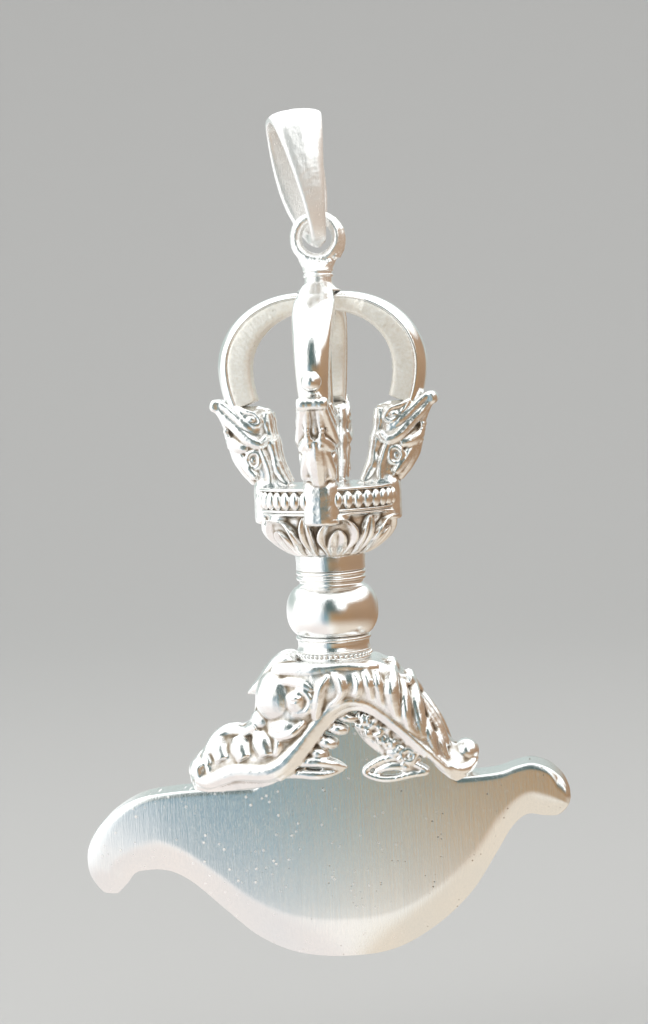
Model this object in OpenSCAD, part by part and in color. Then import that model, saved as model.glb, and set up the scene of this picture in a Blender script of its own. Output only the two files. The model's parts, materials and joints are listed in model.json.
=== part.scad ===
// Silver ritual chopper pendant: half-vajra handle, makara head and crescent blade on a strap bail.
// Millimetres, +Z up, front towards -Y. The origin is where a chain lies in the top bend of the bail.

/* [Bail] */
// From the hinge to the inner top of the loop, where the chain lies
bail_rise = 8.45; // [6.5:0.05:11]
// Front to back of the loop, between the middles of the two straps
bail_depth = 4.4; // [4.2:0.05:5.5]
// Width of the strap at the top bend
bail_w = 3.75; // [2.5:0.05:4.2]
// Width of the bar that passes through the eye ring
bar_w = 1.1; // [0.8:0.05:1.2]
// Thickness of that bar
bar_t = 0.9; // [0.6:0.05:1]
// Thickness of the strap
bail_t = 0.6; // [0.4:0.05:0.7]
// Sideways lean of the bail, as it lies
bail_lean = 5.5; // [0:0.1:12]
// Slant of the strap, hand-bent so that the bar lies to the right of its middle
bail_skew = 3.2; // [0:0.1:5]
// Turn of the bail about its own length
bail_yaw = 14; // [0:1:15]
// How far the strap's edges bend inward at the top
bail_dome = 0.3; // [0:0.05:0.4]

/* [Eye ring] */
// Outer radius of the eye ring
eye_r = 1.93; // [1.75:0.01:2.2]
// Radius of its hole
eye_bore_r = 1.15; // [1.1:0.05:1.3]
// Front to back thickness of the ring
eye_depth = 1.15; // [0.9:0.05:1.25]
// Rounding of the ring's edges
eye_round = 0.25; // [0.1:0.05:0.3]
// Turn of the ring about the handle
eye_yaw = -4; // [-5:1:4]
// Height of the flared foot under the ring
eye_foot_h = 0.45; // [0.2:0.05:0.6]

/* [Crown] */
// Radius of the crown collar
crown_r = 1.08; // [0.95:0.01:1.3]
// Height of the crown, from the prong tips to the eye ring's foot
crown_h = 1.35; // [1.2:0.05:2]
// Radius of the flared skirt over the prong tips
skirt_r = 1.55; // [1.5:0.05:2]
// Height of the flared skirt
skirt_h = 0.55; // [0.4:0.05:0.8]
// Width of the square hub that the four prong tips butt against
hub_w = 2.1; // [2:0.05:2.4]
// Height of that hub
hub_h = 1.7; // [1.5:0.05:2]

/* [Prongs] */
// Height of the cage, from the beaded disc to the crown
cage_h = 13.65; // [12.5:0.05:16]
// Largest outer radius of the cage
cage_r = 7.45; // [7:0.05:8.5]
// Height of the widest place above the disc
bulge_z = 8.4; // [7.8:0.1:9]
// Radial thickness of a prong at its widest place
prong_t = 2.45; // [2:0.05:2.8]
// Radial thickness of a prong at its tip
prong_tip_t = 1.4; // [0.9:0.05:1.5]
// Width of a prong where the makara mouth holds it
prong_root_w = 2; // [1.6:0.05:2.2]
// Width of a prong at its shoulder
prong_shoulder_w = 2.85; // [2.2:0.05:3.2]
// Width of a prong at its tip
prong_tip_w = 2; // [1.6:0.05:2]

/* [Prong heads] */
// Height of the seat in the mouth, where the prong stands
mouth_z = 5.7; // [5.2:0.05:6.2]
// Radius of that seat from the handle's axis
mouth_r = 5.7; // [5.5:0.05:6]
// Inner radius of the foot
foot_in_r = 3; // [2.6:0.05:3.2]
// Outer radius of the foot
foot_out_r = 5.1; // [5:0.05:5.4]
// Width of the foot
foot_w = 2.5; // [2:0.05:2.8]
// How far the foot's lip laps down over the lotus
foot_lap = 0.9; // [0.5:0.05:1.2]
// Thickness of that lip
foot_lap_t = 0.75; // [0.6:0.05:1]
// Reach of the trunk's tip from the handle's axis
trunk_r = 8.1; // [7.8:0.05:9]
// Height of the trunk's tip above the disc
trunk_z = 6; // [5.6:0.05:6.6]

/* [Beaded disc and lotus] */
// Outer radius of the beaded disc
disc_r = 5.1; // [4.9:0.05:5.6]
// Height of the disc
disc_h = 1.7; // [1.3:0.05:2.2]
// Number of beads round the disc, in fours
bead_fours = 10; // [8:1:11]
// Radius of the grooves between beads
bead_groove_r = 0.17; // [0.1:0.01:0.2]
// Radius of the lotus at its top
lotus_r = 4.75; // [4.5:0.05:5]
// Height of the lotus
lotus_h = 3.2; // [2.6:0.05:4]
// Number of broad petals, with a narrow one between each two
petal_count = 6; // [5:1:8]
// How far a petal stands out from the cup
petal_relief = 0.45; // [0.2:0.01:0.5]
// Turn of the petals from the front prong
petal_turn = 14; // [0:1:30]

/* [Handle] */
// Radius of the collar under the lotus
upper_collar_r = 2.5; // [2.2:0.05:2.8]
// Height of that collar
upper_collar_h = 2.3; // [1.8:0.05:3]
// Radius of the knop
knop_r = 3.28; // [2.9:0.01:3.8]
// Height of the knop
knop_h = 3.5; // [3:0.05:4.2]
// Radius of the knop's flat ends
knop_end_r = 2.45; // [2.2:0.05:2.5]
// Radius of the collar over the makara head
lower_collar_r = 2.7; // [2.4:0.05:2.8]
// Height of that collar
lower_collar_h = 1.7; // [1.4:0.05:2.4]
// Radius of the rod that strings the handle together
rod_r = 0.7; // [0.5:0.02:0.8]

/* [Makara head] */
// Length of the head, from nose tip to jaw curl
head_w = 20.6; // [18:0.1:24]
// Height of the head, from its seat to the jaw ends
head_h = 9.4; // [8.6:0.1:11]
// How far the cheeks stand out past the lips
cheek_out = 1.5; // [0.8:0.05:2.2]
// Thickness of a jaw beside the blade
jaw_t = 0.85; // [0.6:0.05:1.2]
// Thickness of the rolled lip
lip_r = 0.42; // [0.25:0.01:0.5]

/* [Blade] */
// Width of the blade, from its left tip to its hook
blade_w = 35; // [30:0.1:42]
// Depth of the blade below its spine
blade_h = 12.6; // [10.5:0.1:15]
// Thickness of the blade at its spine
blade_t = 3; // [2:0.05:3.4]
// Thickness of its lower edge
edge_t = 1; // [0.6:0.05:1.4]
// Breadth of the bevel along the lower edge
bevel_w = 2.6; // [1.5:0.1:3.2]
// Chamfer along the spine
spine_chamfer = 0.35; // [0.15:0.05:0.5]
// Rounding of the left tip's upper edge
tip_round = 1.8; // [0.8:0.1:2.2]
// How far the blade's tongue reaches behind the lips
tongue_grip = 1; // [0.6:0.05:1.2]

/* [Fits] */
// Clearance of the rod in its bores
rod_gap = 0.05; // [0.03:0.01:0.1]
// Clearance of a soldered socket round the piece in it
solder_gap = 0.04; // [0.02:0.01:0.1]

/* [Hidden] */
$fn = 64;

polished = "#e4e5e4";
satin = "#c9cfd2";
cast = "#d8d6d0";

// Levels of the pendant, measured from the hinge down the handle
crown_top = -(eye_r + eye_foot_h);
cage_top = crown_top - crown_h;
disc_top = cage_top - cage_h;
lotus_top = disc_top - disc_h;
collar_top = lotus_top - lotus_h;
knop_top = collar_top - upper_collar_h;
lower_top = knop_top - knop_h;
seat_z = lower_top - lower_collar_h;
bar_off = bail_rise * tan(bail_skew);
hinge = [bail_rise * sin(bail_lean) + bar_off * cos(bail_lean), 0,
    bar_off * sin(bail_lean) - bail_rise * cos(bail_lean)];

bore_r = rod_r + rod_gap;
// How far a cutting solid runs past the piece it cuts
past = 1;
rod_top = cage_top - hub_h / 3;
front_turn = -90;
bulge_r = cage_r - prong_t / 2;
tip_r = hub_w / 2;
tip_z = cage_h - prong_tip_t / 2 - solder_gap;

// A smooth curve through points, with steps between each pair
function blend(a, b, c, d, t) =
    b + 0.5 * t * (c - a + t * (2 * a - 5 * b + 4 * c - d + t * (3 * (b - c) + d - a)));
function curve(p, steps) = [
    for (i = [0 : len(p) - 2], k = [0 : steps - 1])
        blend(p[max(i - 1, 0)], p[i], p[i + 1], p[min(i + 2, len(p) - 1)], k / steps),
    p[len(p) - 1]
];
function mix(a, b, t) = a + (b - a) * t;
function unit(v) = v / norm(v);
function middle(ring, i = 0) = i < len(ring) ? ring[i] / len(ring) + middle(ring, i + 1) : [0, 0, 0];

// A closed skin over a row of rings, with fan ends, or joined end to start when looped
module skin(rings, looped = false) {
    n = len(rings);
    m = len(rings[0]);
    rows = looped ? n : n - 1;
    first = n * m;
    sides = [
        for (i = [0 : rows - 1], j = [0 : m - 1])
            let (a = i * m + j, b = i * m + (j + 1) % m)
            let (c = ((i + 1) % n) * m + j, d = ((i + 1) % n) * m + (j + 1) % m)
            each [[a, b, d], [a, d, c]]
    ];
    ends = [
        for (j = [0 : m - 1])
            each [[(j + 1) % m, j, first], [first - m + j, first - m + (j + 1) % m, first + 1]]
    ];
    points = [for (ring = rings) each ring];
    if (looped)
        polyhedron(points, sides);
    else
        polyhedron(concat(points, [middle(rings[0]), middle(rings[n - 1])]), concat(sides, ends));
}

// A round tube along points [x, y, z, radius], its rings square to the path
module tube(path, sides) {
    last = len(path) - 1;
    function spot(i) = [path[i][0], path[i][1], path[i][2]];
    skin([
        for (i = [0 : last])
            let (along = unit(spot(min(i + 1, last)) - spot(max(i - 1, 0))))
            let (across = unit(cross(along, [0.02, 1, 0.01])))
            let (up = cross(across, along))
            [for (j = [0 : sides - 1])
                let (a = 360 * j / sides)
                spot(i) + path[i][3] * (cos(a) * across + sin(a) * up)]
    ]);
}

// A rounded lump drawn along points [x, y, z, radius]
module lump(balls, sides = 12) {
    hull()
        for (ball = balls)
            translate([ball[0], ball[1], ball[2]])
                sphere(ball[3], $fn = sides);
}

module both_sides() {
    children();
    mirror([0, 1, 0])
        children();
}

module pendant() {
    translate(hinge)
        children();
}

// Bail

bail_steps = 40;
bail_top = bail_rise + bail_t / 2;

// The front narrows early, and the back keeps its width down to the ring
front_taper = 1.35;
back_taper = 4;
// How much narrower, front to back, the loop is at its bar than at its top
loop_taper = 0.12;
function bail_width(turn, rise) =
    mix(bar_w, bail_w, turn <= 180 ? pow(rise, front_taper) : 1 - pow(1 - rise, back_taper));

// One ring of the strap: turn 0 is the bar in the eye, 90 the front, 180 the top, 270 the back
strap_section = [[-1, 0.35], [-0.8, 1], [-0.3, 1], [0.3, 1], [0.8, 1], [1, 0.35],
    [1, -0.35], [0.8, -1], [0.3, -1], [-0.3, -1], [-0.8, -1], [-1, -0.35]];
function bail_spot(turn) =
    let (side = sin(turn) < 0 ? -1 : 1, z = bail_top * (1 - cos(turn)) / 2)
    [-z * tan(bail_skew), -side * bail_depth / 2 * sqrt(abs(sin(turn))) * (1 - loop_taper * cos(turn)), z];
function bail_ring(turn) =
    let (out = unit(cross([1, 0, 0], bail_spot(turn + 2) - bail_spot(turn - 2))))
    let (rise = (1 - cos(turn)) / 2, half = bail_width(turn, rise) / 2, dome = bail_dome * pow(rise, 3))
    let (thick = mix(bail_t, bar_t, pow(max(cos(turn), 0), 6)) / 2)
    [for (s = strap_section)
        bail_spot(turn) + [-s[0] * half, 0, 0] + (s[1] * thick - dome * s[0] * s[0]) * out];

module bail() {
    color(polished)
        translate(hinge)
            rotate([0, -bail_lean, 0])
                rotate([0, 0, bail_yaw])
                    skin([for (i = [0 : bail_steps - 1]) bail_ring(360 * i / bail_steps)], looped = true);
}

// Eye ring and crown

module rounded_band(w, h, r) {
    square([w - 2 * r, h], center = true);
    square([w, h - 2 * r], center = true);
    for (x = [-1, 1], y = [-1, 1])
        translate([x * (w / 2 - r), y * (h / 2 - r)])
            circle(r);
}

// The ring melts into its neck through a web as wide as the ring's lower quarter
module eye_ring() {
    wall = eye_r - eye_bore_r;
    web_turn = 52;
    web_r = eye_r - eye_round / 2;
    web_t = eye_depth - 2 * eye_round;
    color(polished)
        pendant()
            rotate([0, 0, eye_yaw])
                difference() {
                    union() {
                        rotate([90, 0, 0])
                            rotate_extrude()
                                translate([eye_bore_r + wall / 2, 0])
                                    rounded_band(wall, eye_depth, eye_round);
                        rotate([90, 0, 0])
                            linear_extrude(web_t, center = true)
                                polygon([[-crown_r, crown_top], [crown_r, crown_top],
                                    [web_r * sin(web_turn), -web_r * cos(web_turn)],
                                    [-web_r * sin(web_turn), -web_r * cos(web_turn)]]);
                        translate([0, 0, crown_top])
                            cylinder(h = eye_foot_h + wall / 2, r1 = crown_r, r2 = eye_depth / 2);
                    }
                    rotate([90, 0, 0])
                        cylinder(h = 4 * crown_r, r = eye_bore_r, center = true);
                }
}

// A smooth neck with one thin ring, a flared skirt over the prong tips, and the hub between them
module crown_collar() {
    ring_r = (crown_h - skirt_h) / 6;
    neck_r = crown_r - ring_r / 2;
    color(polished)
        pendant()
            difference() {
                union() {
                    translate([0, 0, cage_top])
                        cylinder(h = skirt_h, r1 = skirt_r, r2 = neck_r);
                    translate([0, 0, cage_top])
                        cylinder(h = crown_h, r = neck_r);
                    translate([0, 0, crown_top - 2 * ring_r])
                        rotate_extrude()
                            translate([crown_r - ring_r, 0])
                                circle(ring_r);
                    translate([-hub_w / 2, -hub_w / 2, cage_top - hub_h])
                        cube([hub_w, hub_w, hub_h]);
                }
                translate([0, 0, cage_top - 2 * hub_h])
                    cylinder(h = rod_top - cage_top + 2 * hub_h, r = bore_r);
            }
}

// Prongs: a leaning stem out of the mouth, then a quarter ellipse over to the hub

root_steps = 4;
arc_steps = 12;
root_lean = bulge_r - mouth_r;

// Centre, outward direction, thickness and width of the section at a step, all grown by extra
function root_section(t, extra) =
    let (rise = bulge_z - mouth_z, lean = 2 * root_lean * (1 - t))
    [[bulge_r - root_lean * pow(1 - t, 2), mouth_z + rise * t], unit([rise, -lean]),
        mix(prong_t * 0.93, prong_t, t) + 2 * extra,
        mix(prong_root_w, mix(prong_root_w, prong_shoulder_w, 0.4), t) + 2 * extra];
function arc_section(t) =
    let (a = 90 * t, wide = bulge_r - tip_r, tall = tip_z - bulge_z)
    [[tip_r + wide * cos(a), bulge_z + tall * sin(a)], unit([tall * cos(a), wide * sin(a)]),
        mix(prong_tip_t, prong_t, pow(cos(a), 1.3)),
        lookup(t, [[0, mix(prong_root_w, prong_shoulder_w, 0.4)], [0.5, prong_shoulder_w],
            [0.72, prong_shoulder_w], [1, prong_tip_w]])];

// Flat cast sides, a crowned polished outer face and a narrow inner face
prong_outline = [[-1, -0.8], [-1, 0.8], [-0.75, 1], [0.3, 1], [0.72, 0.8], [0.95, 0.4],
    [1, 0], [0.95, -0.4], [0.72, -0.8], [0.3, -1], [-0.75, -1]];
function prong_ring(section) = [
    for (p = prong_outline)
        let (c = section[0], out = section[1], deep = p[0] * section[2] / 2)
        [c[0] + deep * out[0], p[1] * section[3] / 2, c[1] + deep * out[1]]
];

module prong(turn) {
    root = [for (k = [0 : root_steps - 1]) prong_ring(root_section(k / root_steps, 0))];
    arc = [for (k = [0 : arc_steps]) prong_ring(arc_section(k / arc_steps))];
    color(polished)
        pendant()
            translate([0, 0, disc_top])
                rotate([0, 0, turn])
                    skin(concat(root, arc));
}

// Makara heads at the prong roots, in a frame with x outward and z up from the disc

head_sides = 12;

// A section of the neck and cheeks, squarer than an ellipse so that it wraps the prong
function squared(x) = sign(x) * pow(abs(x), 0.65);
function oval(row) = [
    for (j = [0 : head_sides - 1])
        let (a = 360 * (j + 0.5) / head_sides)
        [row[0] + row[2] * squared(cos(a)), -row[3] * squared(sin(a)), row[1]]
];

// The neck and cheeks, from the foot up to round the prong: radius, height, half depth, half width.
// The head is drawn round a mouth at drawn_mouth and grows with it.
drawn_mouth = 5.7;
small = mouth_z / drawn_mouth;
small_head_masses = small * [[4.1, 0.1, 0.98, 1.05], [4.15, 0.8, 1, 1.05], [4.45, 2, 1.15, 1.15],
    [4.85, 3.2, 1.4, 1.3], [5.3, 4.4, 1.55, 1.45], [5.6, 5.4, 1.55, 1.45], [5.95, 6.6, 1.5, 1.35]];

// Plan of the foot from an inner radius outward, its outer face crowned
module foot_plan(inner) {
    crown = 0.62 * foot_w;
    intersection() {
        translate([inner, -foot_w / 2])
            square([foot_out_r - inner, foot_w]);
        union() {
            translate([foot_out_r - crown, 0])
                circle(crown, $fn = 32);
            translate([inner, -foot_w / 2])
                square([foot_out_r - crown - inner, foot_w]);
        }
    }
}

module prong_head(turn) {
    foot_top = 0.6 * small;
    scroll_r = 0.44 * small;
    color(cast)
        pendant()
            translate([0, 0, disc_top])
                rotate([0, 0, turn])
                    difference() {
                        union() {
                            skin([for (row = small_head_masses) oval(row)]);
                            translate([0, 0, -disc_h])
                                linear_extrude(disc_h + foot_top)
                                    foot_plan(foot_in_r);
                            translate([0, 0, -disc_h - foot_lap])
                                linear_extrude(disc_h + foot_lap)
                                    foot_plan(foot_out_r - foot_lap_t);
                            tube(curve([small * [6.2, 0, 3.7, 0.75], small * [7, 0, 4.5, 0.65],
                                [trunk_r - 1.5 * scroll_r, 0, trunk_z - 1.8 * scroll_r, 1.25 * scroll_r],
                                [trunk_r - scroll_r, 0, trunk_z - 0.8 * scroll_r, 0.9 * scroll_r]], 1), 6);
                            translate([trunk_r - scroll_r, 0, trunk_z - 0.7 * scroll_r])
                                rotate([90, 0, 0])
                                    cylinder(h = 3 * scroll_r, r = scroll_r, center = true, $fn = 12);
                            lump(small * [[5.3, 0, 1.1, 0.45], [6, 0, 2.2, 0.55]], 6);
                            lump(small * [[6, 0, 2.2, 0.55], [6.4, 0, 3.2, 0.55]], 6);
                            both_sides() {
                                lump(small * [[5.3, 1.35, 5.9, 0.3], [6.6, 1.3, 5.2, 0.4]], 6);
                                lump(small * [[5.9, 1.35, 4.4, 0.45]], 6);
                                lump(small * [[4.9, 1.15, 2.5, 0.45], [5.7, 1.1, 3.2, 0.4]], 6);
                                lump(small * [[4, 0.8, 4.9, 0.4], [4.25, 0.9, 6.1, 0.35]], 6);
                            }
                        }
                        skin([for (k = [0 : root_steps])
                            prong_ring(root_section(k / root_steps, solder_gap))]);
                    }
}

// Beaded disc, lotus, collars and knop, strung on the rod

module core_rod() {
    color(polished)
        pendant()
            translate([0, 0, seat_z])
                cylinder(h = rod_top - seat_z, r = rod_r);
}

notch_w = foot_w + 2 * solder_gap;

module beaded_disc() {
    rim_r = disc_h / 2;
    beads = 4 * bead_fours;
    color(polished)
        pendant()
            translate([0, 0, lotus_top])
                difference() {
                    rotate_extrude() {
                        square([disc_r - rim_r, disc_h]);
                        translate([disc_r - rim_r, rim_r])
                            circle(rim_r);
                    }
                    for (k = [0 : beads - 1])
                        rotate([0, 0, (k + 0.5) * 360 / beads])
                            translate([disc_r, 0, -past])
                                cylinder(h = disc_h + 2 * past, r = bead_groove_r);
                    for (k = [0 : 3])
                        rotate([0, 0, 90 * k])
                            translate([foot_in_r - solder_gap, -notch_w / 2, -past])
                                cube([disc_r, notch_w, disc_h + 2 * past]);
                    translate([0, 0, -past])
                        cylinder(h = disc_h + 2 * past, r = bore_r);
                }
}

// Levels of the lotus as shares of its height, closer together under the rim
lotus_levels = [0, 0.12, 0.25, 0.4, 0.55, 0.7, 0.82, 0.9, 0.95, 1];
petal_steps = 16;

// Radius of the plain cup, and the half width of a petal in shares of the petals' pitch
function cup_r(v) = mix(upper_collar_r, lotus_r, pow(sin(90 * v), 0.75));
function petal_half(v, widest) =
    widest * (v > 0.5 ? sqrt(max(1 - pow((v - 0.5) / 0.4, 2), 0)) : mix(0.7, 1, v / 0.5));

// A dished petal with a raised rim; off is the distance from its middle
function dished(off, half) = off < half ? 0.5 + 0.5 * pow(off / half, 2) : 0;
function petal_lift(v, off) =
    max(dished(off, petal_half(v, 0.33)), 0.8 * dished(0.5 - off, petal_half(v, 0.1)));

// The rim swells outward over each broad petal
function petal_lip(v, off) = v > 0.85 && v < 1 ? cos(180 * off) : 0;
function petal_r(v, off) =
    cup_r(v) + petal_relief * (petal_lift(v, off) * sin(180 * min(v + 0.08, 0.75)) + 0.6 * petal_lip(v, off));

module lotus_cup() {
    around = petal_count * petal_steps;
    lap_in_r = foot_out_r - foot_lap_t - solder_gap;
    color(cast)
        pendant()
            translate([0, 0, collar_top])
                difference() {
                    skin([
                        for (v = lotus_levels)
                            [for (j = [0 : around - 1])
                                let (a = front_turn + petal_turn - 360 * j / around)
                                let (step = j % petal_steps)
                                let (off = min(step, petal_steps - step) / petal_steps)
                                [petal_r(v, off) * cos(a), petal_r(v, off) * sin(a), lotus_h * v]]
                    ]);
                    for (k = [0 : 3])
                        rotate([0, 0, 90 * k])
                            translate([lap_in_r, -notch_w / 2, lotus_h - foot_lap - solder_gap])
                                cube([disc_r, notch_w, foot_lap + past]);
                    translate([0, 0, -past])
                        cylinder(h = lotus_h + 2 * past, r = bore_r);
                }
}

// A turned collar: a band with round rings at the given shares of its height
module ringed_collar(r, h, ring_r, shares) {
    difference() {
        union() {
            cylinder(h = h, r = r - ring_r * 0.7);
            for (s = shares)
                translate([0, 0, mix(ring_r, h - ring_r, s)])
                    rotate_extrude()
                        translate([r - ring_r, 0])
                            circle(ring_r);
        }
        translate([0, 0, -past])
            cylinder(h = h + 2 * past, r = bore_r);
    }
}

module upper_collar() {
    color(polished)
        pendant()
            translate([0, 0, knop_top])
                ringed_collar(upper_collar_r, upper_collar_h, upper_collar_h * 0.13, [0, 0.37, 1]);
}

module knop() {
    swell = knop_r - knop_end_r;
    round_r = (swell * swell + knop_h * knop_h / 4) / (2 * swell);
    color(polished)
        pendant()
            translate([0, 0, lower_top + knop_h / 2])
                difference() {
                    rotate_extrude()
                        intersection() {
                            union() {
                                square([2 * knop_end_r, knop_h], center = true);
                                translate([knop_r - round_r, 0])
                                    circle(round_r);
                            }
                            translate([0, -knop_h / 2])
                                square([knop_r, knop_h]);
                        }
                    cylinder(h = knop_h + 2 * past, r = bore_r, center = true);
                }
}

module lower_collar() {
    color(polished)
        pendant()
            translate([0, 0, seat_z])
                ringed_collar(lower_collar_r, lower_collar_h, lower_collar_h * 0.16, [0, 0.5, 1]);
}

// Makara head: an arch of sections from the nose over the seat to the jaw curl.
// Points are [x, z] from the seat, at the size of the driving width and height.

drawn_head = [20.6, 9.4];
mouth_edge = [[-10.3, -9.2], [-9.3, -9.3], [-8, -9.2], [-6.4, -9], [-4.9, -8.8], [-3.3, -7.9],
    [-2.1, -6.4], [-0.9, -4.9], [0.2, -3.8], [1.5, -3.35], [2.5, -3.6], [3.8, -4.5], [5.1, -5.7],
    [6.4, -7], [7.4, -8.1], [8.4, -8.6], [9.2, -8.4]];
head_outline = [[-10.7, -8.8], [-10.75, -7.6], [-9.7, -6.2], [-8.2, -5.1], [-7, -4.9], [-6, -4],
    [-5.6, -2.3], [-4.6, -0.7], [-2.9, 0.2], [0.6, 0.3], [3, 0.2], [4.8, -1.1], [6.2, -3],
    [7.3, -4.8], [8.2, -6.2], [9.2, -6.6], [9.7, -7.5]];
arch_steps = 2;
arch_rows = 6;
lip_y = blade_t / 2 + jaw_t;

head_sizes = [head_w / drawn_head[0], head_h / drawn_head[1]];
function sized(points) = [for (p = points) [p[0] * head_sizes[0], p[1] * head_sizes[1]]];
arch_in = curve(sized(mouth_edge), arch_steps);
arch_out = curve(sized(head_outline), arch_steps);
arch_last = len(arch_in) - 1;

// Half thickness of the arch at a share u of its length and a share v from lip to crest
function end_taper(u) = pow(sin(180 * mix(0.06, 0.94, u)), 0.35);
function crest_y(u) = 0.8 + 1.9 * exp(-pow((u - 0.56) / 0.13, 2));
function arch_y(u, v) =
    let (cheek = lip_y + cheek_out * pow(sin(180 * u), 1.5))
    end_taper(u) * (lip_y * pow(1 - v, 2) + 2.4 * cheek * v * (1 - v) + crest_y(u) * v * v);
function arch_spot(i, v) =
    let (p = mix(arch_in[i], arch_out[i], v))
    [p[0], -arch_y(i / arch_last, v), p[1]];
function arch_ring(i) = concat(
    [for (k = [0 : arch_rows]) arch_spot(i, k / arch_rows)],
    [for (k = [arch_rows : -1 : 0]) let (p = arch_spot(i, k / arch_rows)) [p[0], -p[1], p[2]]]
);

// A place on the cheek's surface, sunk by deep, by its station along the arch
function cheek_spot(station, v, deep) =
    let (i = round(station * arch_steps), p = arch_spot(i, v))
    [p[0], p[1] + deep, p[2]];
function ball(spot, r) = concat(spot, [r]);

module makara_side() {
    tube([for (i = [4 * arch_steps : 15 * arch_steps])
        ball(cheek_spot(i / arch_steps, 0.03, 0.2), lip_r)], 8);
    for (s = [9.3, 10.4, 11.4, 12.4, 13.4, 14.4])
        lump([ball(cheek_spot(s, 0.88, 0.15), 0.5), ball(cheek_spot(s + 0.2, 0.5, 0.2), 0.62),
            ball(cheek_spot(s + 0.5, 0.22, 0.25), 0.3)], 8);
    lump([ball(cheek_spot(6.6, 0.52, 0.1), 0.95)], 10);
    lump([ball(cheek_spot(5.7, 0.8, 0.2), 0.5), ball(cheek_spot(6.9, 0.8, 0.2), 0.6),
        ball(cheek_spot(8, 0.55, 0.2), 0.45)], 8);
    lump([ball(cheek_spot(4.9, 0.45, 0.3), 0.75), ball(cheek_spot(5.6, 0.2, 0.3), 0.55)], 8);
    for (s = [1.2, 2.4, 3.6])
        lump([ball(cheek_spot(s, 0.75, 0.35), 0.75), ball(cheek_spot(s + 0.4, 0.3, 0.35), 0.6)], 8);
}

// Teeth, fangs and gum stand on the blade's face inside the mouth; out is how far from that face
function on_face(x, out, z, r) = [x * head_sizes[0], -blade_t / 2 - out, z * head_sizes[1], r];
module makara_teeth() {
    for (s = [5.4, 6.3, 7.2])
        let (p = cheek_spot(s, 0, 0))
            lump([[p[0], -blade_t / 2 - 0.4, p[2], 0.6],
                [p[0] + 0.75, -blade_t / 2 - 0.15, p[2] - 0.4, 0.4]], 6);
    lump([on_face(-3.2, 0.4, -8.1, 0.5), on_face(-1.9, 0.35, -7.8, 0.5), on_face(0.4, 0.1, -8.1, 0.2)], 6);
    lump([on_face(6.2, 0.4, -7.9, 0.5), on_face(4.6, 0.35, -7.6, 0.5), on_face(2.3, 0.1, -8.1, 0.2)], 6);
    lump([on_face(2.5, 0.35, -4.2, 0.6), on_face(5.9, 0.35, -7.3, 0.7)], 6);
}

module makara_head() {
    horn = [[-5, 0, -2.3, 0.7], [-6.45, 0, -2.9, 0.25]];
    crest = [[-3, 0, -0.6, 0.8], [-3.3, 0, -0.3, 0.5]];
    jaw_curl = [[8.7, 0, -7.5, 1.1], [9.3, 0, -7.1, 0.5]];
    color(cast)
        pendant()
            translate([0, 0, seat_z])
                difference() {
                    union() {
                        skin([for (i = [0 : arch_last]) arch_ring(i)]);
                        both_sides() {
                            makara_side();
                            makara_teeth();
                        }
                        for (form = [horn, crest, jaw_curl])
                            lump([for (b = form) [b[0] * head_sizes[0], 0, b[2] * head_sizes[1], b[3]]], 8);
                    }
                    translate([-head_w / 2, -head_w / 2, 0])
                        cube([head_w, head_w, past]);
                    rotate([90, 0, 0])
                        linear_extrude(blade_t + 2 * solder_gap, center = true)
                            polygon(slot_outline);
                }
}

// Blade: a row of cross-sections from the left tip to the hook, each from the spine to the edge.
// Points are [x, z] from the spine, at the size of the driving width and depth.

drawn_blade = [35, 12.6];
spine_drop = head_h - 0.4;
spine_line = [[-17.6, -7.3], [-18.4, -6.1], [-18.5, -4.6], [-17.9, -3.2], [-16.6, -1.8], [-14.6, -0.7],
    [-12.4, -0.3], [-9.6, -0.1], [-6.4, 0], [-3, 0.1], [0.6, 0.2], [4, 0.3], [7, 0.4], [9.6, 0.5],
    [11.4, 0.7], [12.6, 1.1], [13.8, 1.3], [15, 0.9], [15.9, 0.1], [16.35, -0.9], [16.4, -1.4]];
edge_line = [[-16.7, -7.6], [-15.9, -6.9], [-15.1, -6.3], [-14.1, -6.1], [-13.1, -6.1], [-12, -6.4],
    [-10.6, -7.3], [-8.6, -9.1], [-6.2, -11.1], [-3.4, -12.3], [0, -12.6], [3.5, -12.1], [6.6, -10.4],
    [9.2, -8], [11, -5.3], [12.2, -3.4], [13.3, -2.5], [14.5, -2.6], [15.4, -2.6], [16, -2.2],
    [16.3, -1.7]];
blade_steps = 3;

blade_sizes = [blade_w / drawn_blade[0], blade_h / drawn_blade[1]];
function cut_to_size(points) = [for (p = points) [p[0] * blade_sizes[0], p[1] * blade_sizes[1]]];
spine = curve(cut_to_size(spine_line), blade_steps);
edge = curve(cut_to_size(edge_line), blade_steps);
blade_last = len(spine) - 1;

// The tongue rises behind the lips, as steep as the mouth
mouth_apex = sized([mouth_edge[9]])[0];
mouth_left = sized([mouth_edge[4]])[0];
mouth_right = sized([mouth_edge[14]])[0];
function tongue_z(x) =
    let (foot = x < mouth_apex[0] ? mouth_left : mouth_right)
    mix(mouth_apex[1], foot[1], (x - mouth_apex[0]) / (foot[0] - mouth_apex[0]))
        + tongue_grip + spine_drop;
function blade_top(i) =
    let (p = spine[i])
    [p[0], p[0] > mouth_left[0] - 2 && p[0] < mouth_right[0] + 2 ? max(p[1], tongue_z(p[0])) : p[1]];

// Half thickness shrinks towards the tip and the hook, and the tip's rounding fades over this share
tip_share = 0.28;
function blade_half(u) = blade_t / 2 * (0.6 + 0.4 * pow(min(1, 6 * min(u, 1 - u)), 0.8));

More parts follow.
